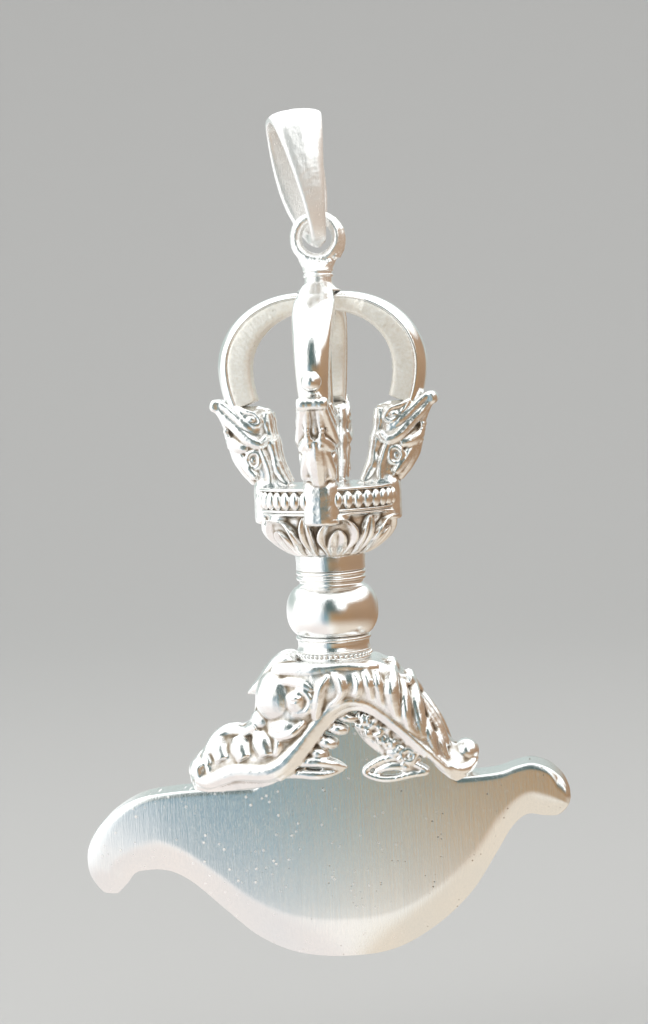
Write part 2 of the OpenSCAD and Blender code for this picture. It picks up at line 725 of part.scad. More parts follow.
function blade_ring(i) =
    let (u = i / blade_last, top = blade_top(i), low = edge[i])
    let (span = norm(low - top), down = (low - top) / span)
    let (half = blade_half(u), thin = edge_t / 2 * half / (blade_t / 2))
    let (soft = mix(tip_round, spine_chamfer, min(1, u / tip_share)))
    let (chamfer = min(soft, span / 3), bevel = min(bevel_w, span / 2))
    let (rows = [[0, half - min(chamfer, half / 2)], [chamfer * 0.4, half - min(chamfer, half / 2) * 0.3],
        [chamfer, half], [span - bevel, half],
        [span - bevel * 0.55, mix(thin, half, 0.75)],
        [span - bevel * 0.25, mix(thin, half, 0.4)], [span, thin]])
    concat(
        [for (r = rows) [top[0] + down[0] * r[0], r[1], top[1] + down[1] * r[0]]],
        [for (k = [len(rows) - 1 : -1 : 0])
            let (r = rows[k]) [top[0] + down[0] * r[0], -r[1], top[1] + down[1] * r[0]]]
    );

// The slot in the head follows the spine and the tongue
slot_outline = concat(
    [for (i = [5 * blade_steps : 15 * blade_steps]) blade_top(i) + [0, solder_gap - spine_drop]],
    [[blade_w / 2, -2 * head_h], [-blade_w / 2, -2 * head_h]]
);

module blade() {
    color(satin)
        pendant()
            translate([0, 0, seat_z - spine_drop])
                skin([for (i = [0 : blade_last]) blade_ring(i)]);
}

bail();
eye_ring();
crown_collar();
prong(front_turn);  // prong_front
prong(front_turn + 90);  // prong_right
prong(front_turn + 180);  // prong_back
prong(front_turn + 270);  // prong_left
prong_head(front_turn);  // prong_head_front
prong_head(front_turn + 90);  // prong_head_right
prong_head(front_turn + 180);  // prong_head_back
prong_head(front_turn + 270);  // prong_head_left
core_rod();
beaded_disc();
lotus_cup();
upper_collar();
knop();
lower_collar();
makara_head();
blade();
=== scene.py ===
"""Looks of a silver ritual chopper pendant, modelled in millimetres round its CAD frame."""
import json
import math
import random

import bpy
import numpy as np
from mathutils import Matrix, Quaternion, Vector


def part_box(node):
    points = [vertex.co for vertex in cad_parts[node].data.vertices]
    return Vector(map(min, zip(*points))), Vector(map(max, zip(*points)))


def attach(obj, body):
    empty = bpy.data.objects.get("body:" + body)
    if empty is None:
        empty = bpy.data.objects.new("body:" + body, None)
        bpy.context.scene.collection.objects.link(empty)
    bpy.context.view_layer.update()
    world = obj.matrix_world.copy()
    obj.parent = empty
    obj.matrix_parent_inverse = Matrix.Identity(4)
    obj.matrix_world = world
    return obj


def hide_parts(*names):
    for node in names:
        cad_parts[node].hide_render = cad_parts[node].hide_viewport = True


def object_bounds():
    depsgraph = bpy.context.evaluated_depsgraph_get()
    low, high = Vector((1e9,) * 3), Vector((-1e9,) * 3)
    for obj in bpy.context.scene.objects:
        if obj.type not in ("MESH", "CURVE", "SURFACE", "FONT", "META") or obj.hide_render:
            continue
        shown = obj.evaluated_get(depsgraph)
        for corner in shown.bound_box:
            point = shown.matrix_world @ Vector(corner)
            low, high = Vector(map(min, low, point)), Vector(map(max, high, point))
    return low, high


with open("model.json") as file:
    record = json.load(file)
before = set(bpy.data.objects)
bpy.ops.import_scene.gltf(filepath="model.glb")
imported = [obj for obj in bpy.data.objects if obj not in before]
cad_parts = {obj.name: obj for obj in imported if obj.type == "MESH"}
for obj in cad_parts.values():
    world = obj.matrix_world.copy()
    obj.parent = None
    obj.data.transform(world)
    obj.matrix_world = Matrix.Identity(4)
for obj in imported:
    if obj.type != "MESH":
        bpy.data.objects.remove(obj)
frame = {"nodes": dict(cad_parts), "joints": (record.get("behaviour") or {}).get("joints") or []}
cad_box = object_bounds()

# Places, in millimetres from the hinge in the eye ring

MM = 0.001
FRONT = -90
hinge = Vector(frame["joints"][0]["pos_m"]) / MM


def level(node, end):
    """Height of a CAD node's lowest (0) or highest (1) point above the hinge."""
    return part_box(node)[end].z / MM - hinge.z


crown_top = level("crown_collar", 1)
cage_top = level("prong_right", 1)
disc_top = level("beaded_disc", 1)
lotus_top = level("lotus_cup", 1)
collar_top = level("upper_collar", 1)
knop_top = level("knop", 1)
lower_top = level("lower_collar", 1)
seat_z = level("lower_collar", 0)

# Curves and blends


def mix(a, b, t):
    return a + (b - a) * t


def smooth(t):
    t = min(max(t, 0), 1)
    return t * t * (3 - 2 * t)


def squared(x, power):
    """A share bent towards its ends, for squarer rounds."""
    return math.copysign(abs(x) ** power, x)


def swelling(x, at, width):
    """A soft rise to 1 at a place, nearly gone two widths away from it."""
    return math.exp(-((x - at) / width) ** 2)


def curve(points, steps):
    """A smooth row of points through the given ones, with steps between each pair."""
    rows = np.array(points, float)
    last = len(rows) - 1
    made = []
    for i in range(last):
        a, b, c, d = rows[max(i - 1, 0)], rows[i], rows[i + 1], rows[min(i + 2, last)]
        for t in np.arange(steps) / steps:
            made.append(b + t / 2 * (c - a + t * (2 * a - 5 * b + 4 * c - d + t * (3 * (b - c) + d - a))))
    return np.array(made + [rows[last]])


def along(rows, t):
    """The place at a share t of a row of points."""
    spot = min(max(t, 0), 1) * (len(rows) - 1)
    i = min(int(spot), len(rows) - 2)
    return rows[i] + (rows[i + 1] - rows[i]) * (spot - i)


# Modelling

MERGE = 0.002
SPIN_STEPS = 96
STRAND_STEPS = 5
LOOP_STEPS = 6
LOOP_SIDES = 8
RECESS_DEPTH = 0.11
# A skin round a flat piece goes over its two flanks and a closing strip, given as shares of the round
STRIP = 0.1
FLANK = (1 - STRIP) / 2
# No strand runs in this direction, so the rounds of its skin are laid out from it
SKEW = Vector((0.02, 1, 0.01))


def start():
    """Object mode with nothing selected, ready for the next primitive."""
    if bpy.context.object and bpy.context.object.mode != "OBJECT":
        bpy.ops.object.mode_set(mode="OBJECT")
    bpy.ops.object.select_all(action="DESELECT")


def pick(*pieces):
    """Selects only these pieces, the first of them active."""
    start()
    for piece in pieces:
        piece.select_set(True)
    bpy.context.view_layer.objects.active = pieces[0]


def apply_place(piece):
    """Puts a piece's place, turn and size into its mesh."""
    pick(piece)
    bpy.ops.object.transform_apply(location=True, rotation=True, scale=True)


def clean(piece):
    """Merges seams and poles, closes open ends and turns the faces outwards."""
    pick(piece)
    bpy.ops.object.mode_set(mode="EDIT")
    bpy.ops.mesh.select_all(action="SELECT")
    bpy.ops.mesh.remove_doubles(threshold=MERGE)
    bpy.ops.mesh.fill_holes(sides=0)
    bpy.ops.mesh.select_all(action="SELECT")
    bpy.ops.mesh.normals_make_consistent(inside=False)
    bpy.ops.object.mode_set(mode="OBJECT")
    return piece


def wrapped(around, rows, spot):
    """A grid wrapped to spot(u, v), with u and v from 0 to 1, its seam and ends closed."""
    start()
    bpy.ops.mesh.primitive_grid_add(x_subdivisions=around, y_subdivisions=rows, size=1)
    piece = bpy.context.object
    for vertex in piece.data.vertices:
        vertex.co = spot(vertex.co.x + 0.5, vertex.co.y + 0.5)
    return clean(piece)


def turned(profile):
    """A profile of (radius, height) points that starts and ends on the axis, spun about the handle."""
    start()
    bpy.ops.mesh.primitive_circle_add(vertices=len(profile), fill_type="NOTHING")
    piece = bpy.context.object
    for vertex, (radius, height) in zip(piece.data.vertices, profile):
        vertex.co = (radius, 0, height)
    bpy.ops.object.mode_set(mode="EDIT")
    bpy.ops.mesh.select_all(action="SELECT")
    bpy.ops.mesh.spin(steps=SPIN_STEPS, angle=math.tau, center=(0, 0, 0), axis=(0, 0, 1))
    bpy.ops.object.mode_set(mode="OBJECT")
    return clean(piece)


def arc(centre, radius, first, last, steps=10):
    """Points of a round stretch of a profile, between two angles in degrees."""
    angles = [math.radians(mix(first, last, k / steps)) for k in range(steps + 1)]
    return [(centre[0] + radius * math.cos(a), centre[1] + radius * math.sin(a)) for a in angles]


def flank(u):
    """The flank that a skin is on, 1 in front and -1 behind, and its share of the way across it."""
    if u < FLANK:
        return 1, u / FLANK
    return -1, 2 - u / FLANK


def tube(path, sides, closed=False):
    """A skin round a row of (x, y, z, radius), whose ends meet where it is closed."""
    last = len(path) - 1

    def spot(u, v):
        i = round(v * last)
        ahead = 1 if closed and i == last else min(i + 1, last)
        behind = last - 1 if closed and i == 0 else max(i - 1, 0)
        tangent = Vector(path[ahead][:3] - path[behind][:3]).normalized()
        across = tangent.cross(SKEW).normalized()
        up = across.cross(tangent)
        a = math.tau * u
        return Vector(path[i][:3]) + float(path[i][3]) * (math.cos(a) * across + math.sin(a) * up)

    return wrapped(sides, last, spot)


def strand(points, sides=10):
    """A round strand through points (x, y, z, radius)."""
    return tube(curve(points, STRAND_STEPS), sides)


def ringed(points, radius):
    """A closed loop of rolled clay through points (x, y, z)."""
    rows = [(*point, radius) for point in points]
    path = curve([rows[-1], *rows, rows[0], rows[1]], LOOP_STEPS)[LOOP_STEPS:-LOOP_STEPS]
    return tube(path, LOOP_SIDES, closed=True)


def ball(centre, radius, scale=(1, 1, 1)):
    """A round lump of clay."""
    start()
    bpy.ops.mesh.primitive_uv_sphere_add(segments=24, ring_count=14, radius=radius, location=centre)
    piece = bpy.context.object
    piece.scale = scale
    apply_place(piece)
    return piece


def bead_ring(angles, radius, height, size, tall=1):
    """Round beads at these angles about the handle, stretched upwards by tall."""
    places = [(radius * math.cos(a), radius * math.sin(a), height) for a in angles]
    return [ball(place, size, (1, 1, tall)) for place in places]


def modify(piece, kind, **settings):
    """Adds a modifier with these settings and applies it."""
    pick(piece)
    made = piece.modifiers.new(kind.lower(), kind)
    for key, value in settings.items():
        setattr(made, key, value)
    bpy.ops.object.modifier_apply(modifier=made.name)
    return piece


def joined(pieces):
    pick(*pieces)
    if len(pieces) > 1:
        bpy.ops.object.join()
    return bpy.context.object


def fused(pieces, voxel, rounds, mirrored=False):
    """Clay forms made one skin, softened a little, and the same on the back where mirrored."""
    piece = joined(pieces)
    if mirrored:
        modify(piece, "MIRROR", use_axis=(False, True, False), use_mirror_merge=False)
    modify(piece, "REMESH", mode="VOXEL", voxel_size=voxel)
    return modify(piece, "SMOOTH", factor=0.5, iterations=rounds)


def rough_cast(piece, depth, grain, group=""):
    """Uneven cast skin, deepest where the vertex group is strongest."""
    sand = bpy.data.textures.new("sand", "CLOUDS")
    sand.noise_scale = grain
    sand.noise_depth = 3
    return modify(piece, "DISPLACE", texture=sand, strength=depth, mid_level=0.5, vertex_group=group)


# The finishes paint shade and tarnish into the hollows that this marks
def mark_recess(piece, reach=24):
    """Writes how far each point lies below the smoothed surface, as the recess attribute from 0 to 1."""
    mesh = piece.data
    count = len(mesh.vertices)
    place = np.empty(count * 3)
    normal = np.empty(count * 3)
    edges = np.empty(len(mesh.edges) * 2, int)
    mesh.vertices.foreach_get("co", place)
    mesh.vertices.foreach_get("normal", normal)
    mesh.edges.foreach_get("vertices", edges)
    place, normal, edges = place.reshape(-1, 3), normal.reshape(-1, 3), edges.reshape(-1, 2)
    both = np.concatenate([edges, edges[:, ::-1]])
    links = np.maximum(np.bincount(both[:, 0], minlength=count), 1)
    soft = place.copy()
    for _ in range(reach):
        for axis in range(3):
            soft[:, axis] = np.bincount(both[:, 0], soft[both[:, 1], axis], count) / links
    below = ((soft - place) * normal).sum(1) / RECESS_DEPTH
    attribute = mesh.attributes.new("recess", "FLOAT", "POINT")
    attribute.data.foreach_set("value", np.clip(below, 0, 1).astype(np.float32))
    return piece


def settle(piece, name, node, finish, sharp=None, body="pendant"):
    """Brings a finished piece to its place in metres, gives it its body and finish, and hides the CAD node
    it replaces.
    """
    piece.name = name
    piece.data.name = name
    apply_place(piece)
    piece.location = hinge * MM
    piece.scale = (MM, MM, MM)
    apply_place(piece)
    if sharp is None:
        bpy.ops.object.shade_smooth()
    else:
        bpy.ops.object.shade_smooth_by_angle(angle=math.radians(sharp))
    piece.data.materials.clear()
    piece.data.materials.append(finish)
    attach(piece, body)
    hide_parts(node)


def turned_copies(piece, count):
    """The piece turned to the front and copies of it, each a quarter turn on round the handle."""
    made = [piece]
    for _ in range(count - 1):
        pick(piece)
        bpy.ops.object.duplicate()
        made.append(bpy.context.object)
    for quarter, copy in enumerate(made):
        copy.rotation_euler.z = math.radians(FRONT + 90 * quarter)
        apply_place(copy)
    return made


# Finishes


class Shade:
    """One socket of a shader tree: operators add Math nodes, and node() adds any other."""

    def __init__(self, tree, socket=None):
        self.tree = tree
        self.socket = socket

    def node(self, kind, inputs=None, output=0, **settings):
        made = self.tree.nodes.new("ShaderNode" + kind)
        for key, value in settings.items():
            if key == "stops":
                set_stops(made.color_ramp, value)
            else:
                setattr(made, key, value)
        for key, value in (inputs or {}).items():
            self.feed(made.inputs[key], value)
        return Shade(self.tree, made.outputs[output])

    def feed(self, target, value):
        if isinstance(value, Shade):
            self.tree.links.new(value.socket, target)
        else:
            target.default_value = value

    def math(self, operation, first, second):
        return self.node("Math", {0: first, 1: second}, operation=operation)

    def __add__(self, other):
        return self.math("ADD", self, other)

    def __radd__(self, other):
        return self.math("ADD", other, self)

    def __sub__(self, other):
        return self.math("SUBTRACT", self, other)

    def __rsub__(self, other):
        return self.math("SUBTRACT", other, self)

    def __mul__(self, other):
        return self.math("MULTIPLY", self, other)

    def __rmul__(self, other):
        return self.math("MULTIPLY", other, self)

    def ramp(self, low, high):
        """This value stretched so that low becomes 0 and high 1, and held there."""
        return self.node("MapRange", {"Value": self, "From Min": low, "From Max": high})

    def tint(self, first, second):
        """A colour between two, by this value, through the colour sockets of a Mix node."""
        return self.node("Mix", {0: self, 6: first, 7: second}, 2, data_type="RGBA")


def set_stops(ramp, stops):
    while len(ramp.elements) < len(stops):
        ramp.elements.new(0.5)
    for element, (place, colour) in zip(ramp.elements, stops):
        element.position = place
        element.color = colour


class Metal:
    """A silver finish under construction, with its coordinates in millimetres."""

    def __init__(self, name):
        self.material = bpy.data.materials.new(name)
        self.material.use_nodes = True
        self.tree = self.material.node_tree
        self.shader = self.tree.nodes["Principled BSDF"]
        self.shader.inputs["Metallic"].default_value = 1
        self.place = Shade(self.tree).node("TexCoord", output="Object")

    def at(self, scale):
        """The place in millimetres, stretched by scale along each axis."""
        sizes = [s / MM for s in scale]
        return self.place.node("Mapping", {"Vector": self.place, "Scale": sizes})

    def noise(self, scale, detail=4, roughness=0.55):
        where = self.at(scale)
        inputs = {"Vector": where, "Scale": 1, "Detail": detail, "Roughness": roughness}
        return where.node("TexNoise", inputs)

    def cells(self, scale, width):
        """Small round spots scattered through the surface, 1 in the spot and 0 round it."""
        where = self.at(scale)
        far = where.node("TexVoronoi", {"Vector": where, "Scale": 1, "Randomness": 1})
        return far.ramp(width, width * 0.4)

    def attribute(self, name):
        return self.place.node("Attribute", output="Fac", attribute_name=name)

    def done(self, colour, roughness, height, strength, distance):
        self.place.feed(self.shader.inputs["Base Color"], colour)
        self.place.feed(self.shader.inputs["Roughness"], roughness)
        bump = self.place.node("Bump", {"Height": height, "Strength": strength, "Distance": distance})
        self.place.feed(self.shader.inputs["Normal"], bump)
        return self.material


BRIGHT_SILVER = (0.93, 0.925, 0.905, 1)
SOFT_SILVER = (0.83, 0.835, 0.83, 1)
# The two browns below paint shade and tarnish into hollows, by the recess mask; the first also darkens the
# blade's pits
TARNISH_AND_SHADE = (0.33, 0.27, 0.2, 1)
DEEP_SHADE_AND_TARNISH = (0.16, 0.13, 0.1, 1)
STRAP_WHITE = (0.97, 0.965, 0.95, 1)
STRAP_METALLIC = 0.5
NECK_METALLIC = 0.8
SAND_DARK = (0.88, 0.84, 0.75, 1)
SAND_PALE = (0.98, 0.965, 0.92, 1)
BLADE_COOL = (0.82, 0.85, 0.86, 1)
BLADE_WARM = (0.9, 0.89, 0.86, 1)
BLADE_STREAK = (0.66, 0.7, 0.72, 1)
BLADE_SPECK = (0.98, 0.98, 0.96, 1)
SPECK_REACH = 0.008


def polished_silver():
    """Buffed silver: fine hairlines in every direction, a soft haze, and painted shade with a trace of
    tarnish in corners.
    """
    metal = Metal("polished_silver")
    cloud = metal.noise((0.35, 0.35, 0.35))
    hairs = metal.noise((14, 14, 0.8), 3).ramp(0.35, 0.7)
    cross_hairs = metal.noise((1.2, 1.2, 18), 3).ramp(0.4, 0.75)
    recess = metal.attribute("recess")
    # Painted shade and tarnish, strongest in the hollows
    stain_and_shade = (recess * 0.8 + (cloud - 0.5) * 0.2).ramp(0.15, 0.9)
    colour = cloud.ramp(0.3, 0.7).tint(BRIGHT_SILVER, SOFT_SILVER)
    colour = stain_and_shade.tint(colour, TARNISH_AND_SHADE)
    roughness = 0.1 + 0.08 * cloud + 0.05 * hairs + 0.22 * stain_and_shade
    return metal.done(colour, roughness, hairs + cross_hairs * 0.7, strength=0.1, distance=0.00003)


def rubbed_silver(name, metallic):
    """Bail, eye ring and crown: silver rubbed to a soft white sheen, with faint lines along it."""
    metal = Metal(name)
    cloud = metal.noise((0.4, 0.4, 0.4))
    lines = metal.noise((16, 16, 0.7), 3).ramp(0.35, 0.7)
    grain = metal.noise((5, 5, 5), 5)
    recess = metal.attribute("recess")
    # Painted shade and tarnish in the hollows
    stain_and_shade = (recess + (grain - 0.5) * 0.2).ramp(0.15, 0.8)
    colour = cloud.ramp(0.3, 0.7).tint(STRAP_WHITE, BRIGHT_SILVER)
    colour = stain_and_shade.tint(colour, TARNISH_AND_SHADE)
    roughness = 0.17 + 0.1 * cloud + 0.06 * lines
    metal.shader.inputs["Metallic"].default_value = metallic
    return metal.done(colour, roughness, lines * 0.5 + grain * 0.5, strength=0.12, distance=0.00004)


def cast_silver():
    """Cast and chased silver: high places rubbed bright, hollows dull and brown with painted shade and
    tarnish.
    """
    metal = Metal("cast_silver")
    cloud = metal.noise((0.6, 0.6, 0.6))
    grain = metal.noise((7, 7, 7), 5)
    pits = metal.cells((2.2, 2.2, 2.2), 0.25)
    recess = metal.attribute("recess")
    # Painted shade and tarnish in the hollows
    stain_and_shade = (recess + (grain - 0.5) * 0.35).ramp(0.1, 0.6)
    colour = cloud.ramp(0.3, 0.7).tint(BRIGHT_SILVER, SOFT_SILVER)
    colour = stain_and_shade.tint(colour, TARNISH_AND_SHADE)
    # The deepest hollows darker still: more painted shade and old tarnish
    deep = (recess + (cloud - 0.5) * 0.3).ramp(0.5, 0.95)
    colour = deep.tint(colour, DEEP_SHADE_AND_TARNISH)
    roughness = 0.15 + 0.1 * cloud + 0.25 * stain_and_shade + 0.06 * grain
    return metal.done(colour, roughness, grain * 0.6 + cloud - pits * 0.35, strength=0.2, distance=0.00005)


def prong_silver():
    """Prongs: a polished outer crown and sides left as they came from the sand."""
    metal = Metal("prong_silver")
    cloud = metal.noise((0.4, 0.4, 0.4))
    grain = metal.noise((5, 5, 5), 6, 0.65)
    pits = metal.cells((1.8, 1.8, 1.8), 0.3) * cloud.ramp(0.48, 0.6)
    hairs = metal.noise((12, 12, 1), 3).ramp(0.35, 0.7)
    side = metal.attribute("cast_side")
    recess = metal.attribute("recess")
    colour = cloud.ramp(0.3, 0.7).tint(BRIGHT_SILVER, SOFT_SILVER)
    sandy = grain.ramp(0.3, 0.7).tint(SAND_DARK, SAND_PALE)
    colour = side.tint(colour, sandy)
    # Painted shade and tarnish in the hollows, and tarnish in the pits of the cast sides
    stain_and_shade = (recess + pits * side * 0.5).ramp(0.2, 1)
    colour = stain_and_shade.tint(colour, TARNISH_AND_SHADE)
    roughness = 0.1 + 0.07 * cloud + side * (0.2 + 0.12 * grain) + 0.04 * hairs
    height = hairs * 0.15 + side * (grain * 1.6 - pits * 0.25)
    metal.place.feed(metal.shader.inputs["Metallic"], 1 - 0.45 * side)
    return metal.done(colour, roughness, height, strength=0.35, distance=0.00005)


def satin_silver():
    """The blade: brushed from spine to edge, bright specks near the tip and dark pits near the hook."""
    metal = Metal("satin_silver")
    cloud = metal.noise((0.12, 0.12, 0.12))
    patch = metal.noise((0.5, 0.5, 0.35))
    brushed = metal.noise((9, 9, 0.35), 4, 0.6)
    fine = metal.noise((30, 30, 1.6), 2)
    across = metal.place.node("SeparateXYZ", {0: metal.place})
    to_tip = across.ramp(SPECK_REACH, -SPECK_REACH)
    specks = metal.cells((1.5, 0.3, 1.5), 0.19) * patch.ramp(0.38, 0.52) * (0.15 + to_tip)
    pits = metal.cells((1.9, 0.3, 1.9), 0.14) * patch.ramp(0.5, 0.6) * (1 - to_tip)
    colour = cloud.ramp(0.3, 0.7).tint(BLADE_COOL, BLADE_WARM)
    streak = brushed.ramp(0.25, 0.8)
    colour = (streak * 0.3).tint(colour, BLADE_STREAK)
    colour = specks.tint(colour, BLADE_SPECK)
    colour = pits.tint(colour, TARNISH_AND_SHADE)
    roughness = 0.09 + 0.06 * patch + 0.06 * streak + 0.03 * cloud + 0.5 * specks
    height = brushed * 0.8 + fine * 0.5 + specks * 0.5 - pits * 0.8
    return metal.done(colour, roughness, height, strength=0.25, distance=0.00004)


polished = polished_silver()
strap = rubbed_silver("strap_silver", STRAP_METALLIC)
neck_finish = rubbed_silver("neck_silver", NECK_METALLIC)
cast = cast_silver()
prong_finish = prong_silver()
satin = satin_silver()

# Bail: a strap bent to a loop, broad at the top and narrow in the eye ring

BAIL_RISE = 8.45
BAIL_LEAN = math.radians(5.5)
BAIL_SKEW = math.radians(3.2)
BAIL_YAW = math.radians(14)
BAIL_DEPTH = 4.4
BAIL_W = 3.75
BAIL_T = 0.6
BAIL_DOME = 0.3
BAR_W = 1.1
BAR_T = 0.9
FRONT_TAPER = 1.35
BACK_TAPER = 4
LOOP_TAPER = 0.12
BAIL_VOXEL = 0.055


def strap_spine(turn):
    """Middle of the strap: turn 0 is the bar in the eye, a quarter turn the front, a half turn the top."""
    side = -1 if math.sin(turn) < 0 else 1
    deep = BAIL_DEPTH / 2 * math.sqrt(abs(math.sin(turn))) * (1 - LOOP_TAPER * math.cos(turn))
    height = (BAIL_RISE + BAIL_T / 2) * (1 - math.cos(turn)) / 2
    return Vector((-height * math.tan(BAIL_SKEW), -side * deep, height))


def bail():
    """The strap, with the solder that closes it left lumpy under the bar."""
    def spot(u, v):
        turn = math.tau * v
        climb = (1 - math.cos(turn)) / 2
        share = climb ** FRONT_TAPER if turn <= math.pi else 1 - (1 - climb) ** BACK_TAPER
        out = Vector((1, 0, 0)).cross(strap_spine(turn + 0.03) - strap_spine(turn - 0.03)).normalized()
        wide = mix(BAR_W, BAIL_W, share) / 2
        thick = mix(BAIL_T, BAR_T, max(math.cos(turn), 0) ** 6) / 2
        flat = squared(math.cos(math.tau * u), 0.35)
        rise = thick * squared(math.sin(math.tau * u), 0.6) - BAIL_DOME * climb ** 3 * flat ** 2
        return strap_spine(turn) + Vector((-wide * flat, 0, 0)) + rise * out

    band = wrapped(32, 160, spot)
    solder = [ball((0, -0.1, -0.3), 0.4), ball((0.3, -0.3, -0.2), 0.27), ball((-0.28, 0.2, -0.25), 0.28)]
    piece = rough_cast(fused([band, *solder], BAIL_VOXEL, rounds=3), depth=0.03, grain=0.5)
    piece.rotation_mode = "QUATERNION"
    piece.rotation_quaternion = Quaternion((0, 1, 0), -BAIL_LEAN) @ Quaternion((0, 0, 1), BAIL_YAW)
    return piece


settle(mark_recess(bail()), "bail_strap", "bail", strap, body="bail")

# Eye ring and crown

EYE_YAW = math.radians(-4)
EYE_BORE_R = 1.06
EYE_R = 1.93
EYE_DEPTH = 1.15
EYE_VOXEL = 0.05
CROWN_R = 1.08
SKIRT_R = 1.55
HUB_W = 2.1
HUB_H = 1.7


def eye_ring():
    """A thick ring that melts into its neck, heavier on the right, with solder left round the joint."""
    wire = (EYE_R - EYE_BORE_R) / 2
    start()
    bpy.ops.mesh.primitive_torus_add(major_segments=96, minor_segments=32, major_radius=EYE_BORE_R + wire,
                                     minor_radius=wire, rotation=(math.pi / 2, 0, 0))
    ring = bpy.context.object
    ring.scale.z = EYE_DEPTH / 2 / wire
    apply_place(ring)
    # Height, half width and half depth down the neck
    neck = curve([(-1.25, 1.42, 0.42), (-1.6, 1.34, 0.6), (-2, 1.14, 0.85),
                  (crown_top, CROWN_R, CROWN_R - 0.05)], 4)

    def spot(u, v):
        height, wide, deep = along(neck, v)
        return Vector((wide * math.cos(math.tau * u), deep * math.sin(math.tau * u), height))

    heavy = strand([(1.15, 0, 1.2, 0.32), (1.6, 0, 0.45, 0.4), (1.63, 0, -0.5, 0.43),
                    (1.25, 0, -1.3, 0.42)])
    solder = [ball((0.85, -0.3, -1.75), 0.3), ball((-0.62, -0.25, -1.85), 0.26),
              ball((1.28, -0.2, -1.3), 0.28)]
    forms = [ring, wrapped(32, 16, spot), heavy, *solder]
    piece = rough_cast(fused(forms, EYE_VOXEL, rounds=6), depth=0.05, grain=0.3)
    piece.rotation_euler.z = EYE_YAW
    return piece


def crown_collar():
    """A smooth neck with one thin ring, flared over the square hub between the prong tips."""
    ring = 0.13
    profile = [(0, crown_top), (CROWN_R - 0.08, crown_top)]
    profile += arc((CROWN_R - ring, crown_top - 2 * ring), ring, 80, -80)
    profile += curve([(CROWN_R - 0.1, crown_top - 0.45), (CROWN_R - 0.08, cage_top + 0.62),
                      (CROWN_R + 0.1, cage_top + 0.3), (SKIRT_R, cage_top + 0.08)], 5).tolist()
    profile += [(SKIRT_R, cage_top), (0, cage_top)]
    collar = turned(profile)
    start()
    bpy.ops.mesh.primitive_cube_add(size=1, location=(0, 0, cage_top - HUB_H / 2 + 0.02))
    hub = bpy.context.object
    hub.scale = (HUB_W, HUB_W, HUB_H)
    apply_place(hub)
    modify(hub, "BEVEL", width=0.12, segments=3)
    return joined([collar, hub])


settle(mark_recess(eye_ring(), 12), "eye_loop", "eye_ring", neck_finish)
settle(mark_recess(crown_collar(), 6), "crown", "crown_collar", neck_finish, sharp=40)

# Prongs and the makara heads that hold them, in a frame with x outward and z up from the disc

CAGE_H = cage_top - disc_top
CAGE_R = 7.45
BULGE_Z = 8.4
PRONG_T = 2.45
PRONG_ROOT_T = 0.93 * PRONG_T
PRONG_TIP_T = 1.4
PRONG_ROOT_W = 2
PRONG_SHOULDER_W = 2.85
PRONG_TIP_W = 2
PRONG_MIDDLE_W = mix(PRONG_ROOT_W, PRONG_SHOULDER_W, 0.4)
ROOT_SHARE = 0.25
SHOULDER = (0.5, 0.72)
PRONG_ROWS = 72
FRONT_TIP_RISE = 0.7
FRONT_TIP_PINCH = 0.35
MOUTH_Z = 5.7
MOUTH_R = 5.7
SIDES = ("front", "right", "back", "left")


def prong_section(t):
    """Centre, outward direction, thickness and width at a share of the prong's length."""
    bulge_r = CAGE_R - PRONG_T / 2
    tip_r = HUB_W / 2
    tip_z = CAGE_H - PRONG_TIP_T / 2
    if t < ROOT_SHARE:
        s = t / ROOT_SHARE
        lean = bulge_r - MOUTH_R
        centre = (bulge_r - lean * (1 - s) ** 2, mix(MOUTH_Z, BULGE_Z, s))
        out = Vector((BULGE_Z - MOUTH_Z, -2 * lean * (1 - s)))
        thick = mix(PRONG_ROOT_T, PRONG_T, s)
        return centre, out.normalized(), thick, mix(PRONG_ROOT_W, PRONG_MIDDLE_W, s)
    s = (t - ROOT_SHARE) / (1 - ROOT_SHARE)
    a = s * math.pi / 2
    wide, tall = bulge_r - tip_r, tip_z - BULGE_Z
    centre = (tip_r + wide * math.cos(a), BULGE_Z + tall * math.sin(a))
    out = Vector((tall * math.cos(a), wide * math.sin(a)))
    widths = [PRONG_MIDDLE_W, PRONG_SHOULDER_W, PRONG_SHOULDER_W, PRONG_TIP_W]
    width = np.interp(s, [0, *SHOULDER, 1], widths)
    return centre, out.normalized(), mix(PRONG_TIP_T, PRONG_T, math.cos(a) ** 1.3), width


# Half of the section, from the middle of the inner face to the middle of the polished crown:
# depth and width as shares, with a shallow groove where the crown meets the cast side
prong_half = [(-1, 0), (-1, 0.5), (-0.97, 0.75), (-0.88, 0.92), (-0.7, 0.98), (-0.3, 0.97), (0.1, 0.96),
              (0.26, 0.95), (0.3, 0.92), (0.34, 0.93), (0.37, 1), (0.46, 1), (0.6, 0.94), (0.75, 0.8),
              (0.88, 0.58), (0.96, 0.32), (1, 0)]
prong_loop = prong_half + [(d, -w) for d, w in prong_half[-2:0:-1]]
CROWN_START = 0.34
CROWN_FADE = 0.08


